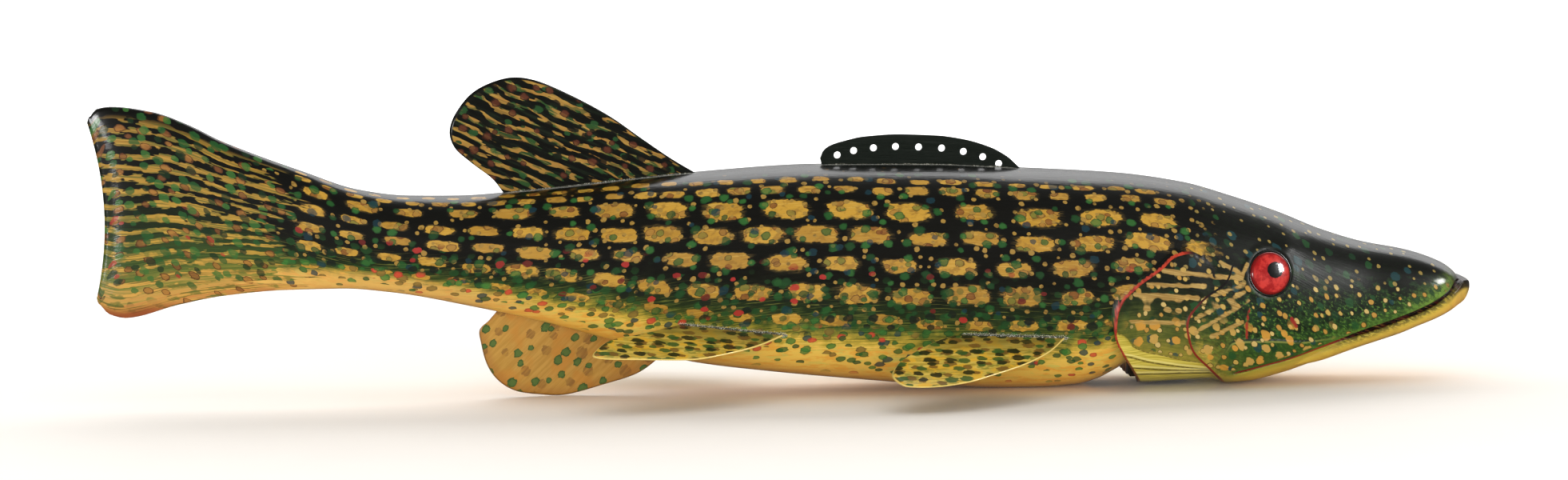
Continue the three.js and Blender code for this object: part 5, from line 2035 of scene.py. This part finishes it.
@dataclass
class Seams:
    """Speckled putty where each sheet enters the wood: a half-round bead along the root."""

    radius: float = 0.8
    side_share: float = 0.8
    sunk: float = 0.45
    proud: float = 0.05
    sides: int = 12
    steps: int = 90

    def bead(self, name: str, path: Array, radius: Array) -> bpy.types.Object:
        """Tube along a path, its circle square to the path, tapering to its ends.

        Args:
            name: the piece's name.
            path: (n, 3) places.
            radius: radius at each place.

        Returns:
            The bead.
        """
        ahead = np.gradient(path, axis=0)
        ahead /= np.linalg.norm(ahead, axis=1)[:, None]
        first = np.cross(ahead, np.array([0.0, 1.0, 0.0]))
        first /= np.linalg.norm(first, axis=1)[:, None]
        second = np.cross(ahead, first)
        turn = np.linspace(0, 2 * np.pi, self.sides, endpoint=False)
        across, upward = np.cos(turn)[None, :, None], np.sin(turn)[None, :, None]
        ring = first[:, None, :] * across + second[:, None, :] * upward
        grid = path[:, None, :] + ring * radius[:, None, None]
        faces = grid_faces(len(path), self.sides, wrap=True).tolist()
        last = (len(path) - 1) * self.sides
        faces += [list(range(self.sides)), list(range(last, last + self.sides))]
        bead = make_piece(name, grid.reshape(-1, 3), faces)
        return bead

    def build(self) -> list[bpy.types.Object]:
        """Beads along the roots of the back plates and side fins.

        Returns:
            The beads.
        """
        putty = self.material()
        t = np.linspace(0, 1, self.steps)
        taper = self.radius * np.sqrt(np.clip(np.sin(np.pi * t) * 4, 0.01, 1))
        uneven = 1 + 0.16 * np.sin(t * 37) * np.sin(t * 23 + 1)
        built = []
        for name, (front, rear) in zip(("dorsal", "tie"), BACK_ROOTS):
            share = front + (rear - front) * t
            z = CARVING.back(share) * BODY_DEPTH - self.sunk
            path = np.column_stack([along(share), np.zeros_like(t), z])
            built.append(self.bead(f"seam_{name}", path, taper * uneven))
        for name, (front, rear) in zip(("pectoral", "pelvic"), SIDE_ROOTS):
            for hand, side in HANDS:
                x = along(front[0] + (rear[0] - front[0]) * t)
                z = (front[1] + (rear[1] - front[1]) * t) * BODY_DEPTH
                path = np.column_stack([x, side * (CARVING.side_at(x, z) + self.proud), z])
                built.append(self.bead(f"seam_{name}_{hand}", path, self.side_share * taper * uneven))
        for bead in built:
            bead.data.materials.append(putty)
        return built

    def material(self) -> bpy.types.Material:
        """Dark glossy putty with silver specks.

        Returns:
            The material.
        """
        b = Brush("seam_putty")
        place = b.node("ShaderNodeTexCoord").outputs["Object"]
        speck = b.noise(place, 2200.0, 2.0, 0.7)
        colour = b.blend((52, 52, 38), (206, 204, 188), b.fade(speck, 0.5, 0.64))
        return b.finish(colour, b.fade(speck, 0.45, 0.65, 0.5, 0.25), speck, 0.15, coat_rough=0.15)


@dataclass
class Studio:
    """White sweep, soft boxes and the camera."""

    floor_rows: tuple[float, ...] = (-1.5, -0.3, 0.3, 1.5)
    floor_columns: tuple[float, ...] = (-6.0, -0.6, 0.6, 6.0)
    arc_radius: float = 1.6
    arc_bands: tuple = ((57.5, 15.0, 2.3), (42.5, 15.0, 1.6), (29.0, 12.0, 1.0), (17.0, 12.0, 0.6),
                        (4.0, 14.0, 0.34))
    arc_length: float = 5.0
    boxes: tuple = (
        ("top_fill", (0.0, -0.2, 1.5), (0.0, 0.0, 0.0), (2.0, 1.2), 0.9, False, True),
        ("key_right", (1.21, -0.73, 0.46), (0.18, 0.0, 0.045), (0.3, 0.34), 28.0, True, False),
        ("key_left", (-0.98, -1.01, 0.19), (-0.25, 0.0, 0.1), (0.3, 0.3), 18.0, True, False),
        ("front_fill", (0.0, -1.7, 0.36), (0.0, 0.0, 0.03), (2.6, 0.6), 2.1, False, True),
        ("low_fill", (0.0, -0.9, 0.1), (0.0, 0.0, 0.01), (1.6, 0.18), 1.6, False, True))
    white: float = 1.05
    soft: float = 0.46
    mirrored: float = 0.05
    camera_azimuth: float = -8.0
    camera_elevation: float = 7.5
    camera_distance: float = 1.9
    camera_target: Place = (-0.00393, 0.0, 0.0568)
    sensor: float = 36.0
    photo_width: int = 1962
    pixel_mm: float = 0.29875

    def build(self) -> None:
        """Floor, lights, world and camera."""
        self.floor()
        self.world()
        self.lights()
        self.camera()

    def floor(self) -> None:
        """White table, flat to beyond the frame; gloss doesn't mirror it."""
        y = np.array(self.floor_rows)
        x = np.array(self.floor_columns)
        grid = np.stack(np.broadcast_arrays(x[None, :], y[:, None], 0.0), axis=-1)
        mesh = bpy.data.meshes.new("floor")
        faces = grid_faces(len(y), len(x), wrap=False)[:, ::-1]
        mesh.from_pydata(grid.reshape(-1, 3).tolist(), [], faces.tolist())
        mesh.shade_smooth()
        floor = bpy.data.objects.new("floor", mesh)
        floor.visible_glossy = False
        bpy.context.scene.collection.objects.link(floor)
        b = Brush("sweep")
        place = b.node("ShaderNodeTexCoord").outputs["Object"]
        grain = b.noise(place, 30.0, 2.0, 0.5)
        side, depth, _ = b.split(place)
        away = b.radius(b.math("MULTIPLY", side, 0.45), depth)
        # Warm cream near the fish and whiter away: where the lit floor clips to white it shows only in the
        # shadow, as a painted warm bounce from the belly.
        white = b.blend((252, 246, 238), (249, 243, 235), grain)
        white = b.blend(white, (253, 252, 250), b.fade(away, 0.05, 0.5))
        b.put(b.shader.inputs["Emission Color"], (1.0, 1.0, 1.0, 1.0))
        b.put(b.shader.inputs["Emission Strength"], b.fade(away, 0.14, 0.8, 0.0, 0.6))
        mesh.materials.append(b.finish(white, 0.7, None, 0.0, coat=0.0))

    def world(self) -> None:
        """White where the camera sees it, dim where the paint mirrors it."""
        world = bpy.data.worlds.new("studio")
        bpy.context.scene.world = world
        world.use_nodes = True
        tree = world.node_tree
        tree.nodes.clear()
        out = tree.nodes.new("ShaderNodeOutputWorld")
        glow = tree.nodes.new("ShaderNodeBackground")
        rays = tree.nodes.new("ShaderNodeLightPath")
        sums = [tree.nodes.new("ShaderNodeMath") for _ in range(2)]
        for add, kind, level in zip(sums, ("Is Camera Ray", "Is Diffuse Ray"), (self.white, self.soft)):
            add.operation = "MULTIPLY_ADD"
            tree.links.new(rays.outputs[kind], add.inputs[0])
            add.inputs[1].default_value = level
        sums[0].inputs[2].default_value = self.mirrored
        tree.links.new(sums[0].outputs[0], sums[1].inputs[2])
        glow.inputs[0].default_value = (1, 1, 1, 1)
        tree.links.new(sums[1].outputs[0], glow.inputs[1])
        tree.links.new(glow.outputs[0], out.inputs[0])

    def soft_box(self, name: str, place: Place, target: Place, size: tuple[float, float], radiance: float,
                 mirrored: bool = True, lit: bool = True) -> None:
        """Rectangular light that faces a target; its power is radiance * pi * area.

        Args:
            name: the light's name.
            place: its middle in metres.
            target: what it faces.
            size: width and height in metres.
            radiance: how bright its face is.
            mirrored: whether gloss shows it.
            lit: whether it lights matt paint.
        """
        light = bpy.data.lights.new(name, "AREA")
        light.shape = "RECTANGLE"
        light.size, light.size_y = size
        light.energy = radiance * math.pi * size[0] * size[1]
        holder = bpy.data.objects.new(name, light)
        holder.location = place
        holder.rotation_euler = (Vector(target) - Vector(place)).to_track_quat("-Z", "Y").to_euler()
        holder.visible_camera = False
        holder.visible_glossy = mirrored
        holder.visible_diffuse = lit
        bpy.context.scene.collection.objects.link(holder)

    def lights(self) -> None:
        """Arc of boxes behind, dimmer lower down, for the sheen; side boxes for the glints; fills."""
        for elevation, spread, radiance in self.arc_bands:
            rise = math.radians(elevation)
            place = (0.0, self.arc_radius * math.cos(rise), self.arc_radius * math.sin(rise))
            width = 2 * self.arc_radius * math.tan(math.radians(spread / 2))
            self.soft_box(f"arc_{elevation:.0f}", place, (0.0, 0.0, 0.0), (self.arc_length, width), radiance)
        for box in self.boxes:
            self.soft_box(*box)

    def camera(self) -> None:
        """Camera at the photograph's viewing angle."""
        azimuth = math.radians(self.camera_azimuth)
        elevation = math.radians(self.camera_elevation)
        back = Vector((math.sin(azimuth) * math.cos(elevation), -math.cos(azimuth) * math.cos(elevation),
                       math.sin(elevation)))
        data = bpy.data.cameras.new("camera")
        data.sensor_width = self.sensor
        data.lens = self.sensor * self.camera_distance / (self.photo_width * self.pixel_mm * MM)
        holder = bpy.data.objects.new("camera", data)
        holder.location = Vector(self.camera_target) + back * self.camera_distance
        holder.rotation_euler = (-back).to_track_quat("-Z", "Y").to_euler()
        bpy.context.scene.collection.objects.link(holder)
        bpy.context.scene.camera = holder


def main() -> None:
    """Builds the decoy, then the studio."""
    logging.basicConfig(level=logging.INFO, format="%(name)s: %(message)s")
    body = CarvedBody().build()
    body.data.materials.append(BodyPaint().material())
    pieces = [body, TiePlate().build(), *Fins().build(), *Eyes().build(), *Seams().build()]
    for piece in pieces:
        LOG.info("%s: %d faces", piece.name, len(piece.data.polygons))
    Studio().build()
    bpy.context.scene.view_settings.view_transform = "Standard"
    bpy.context.view_layer.update()


if __name__ == "__main__":
    main()
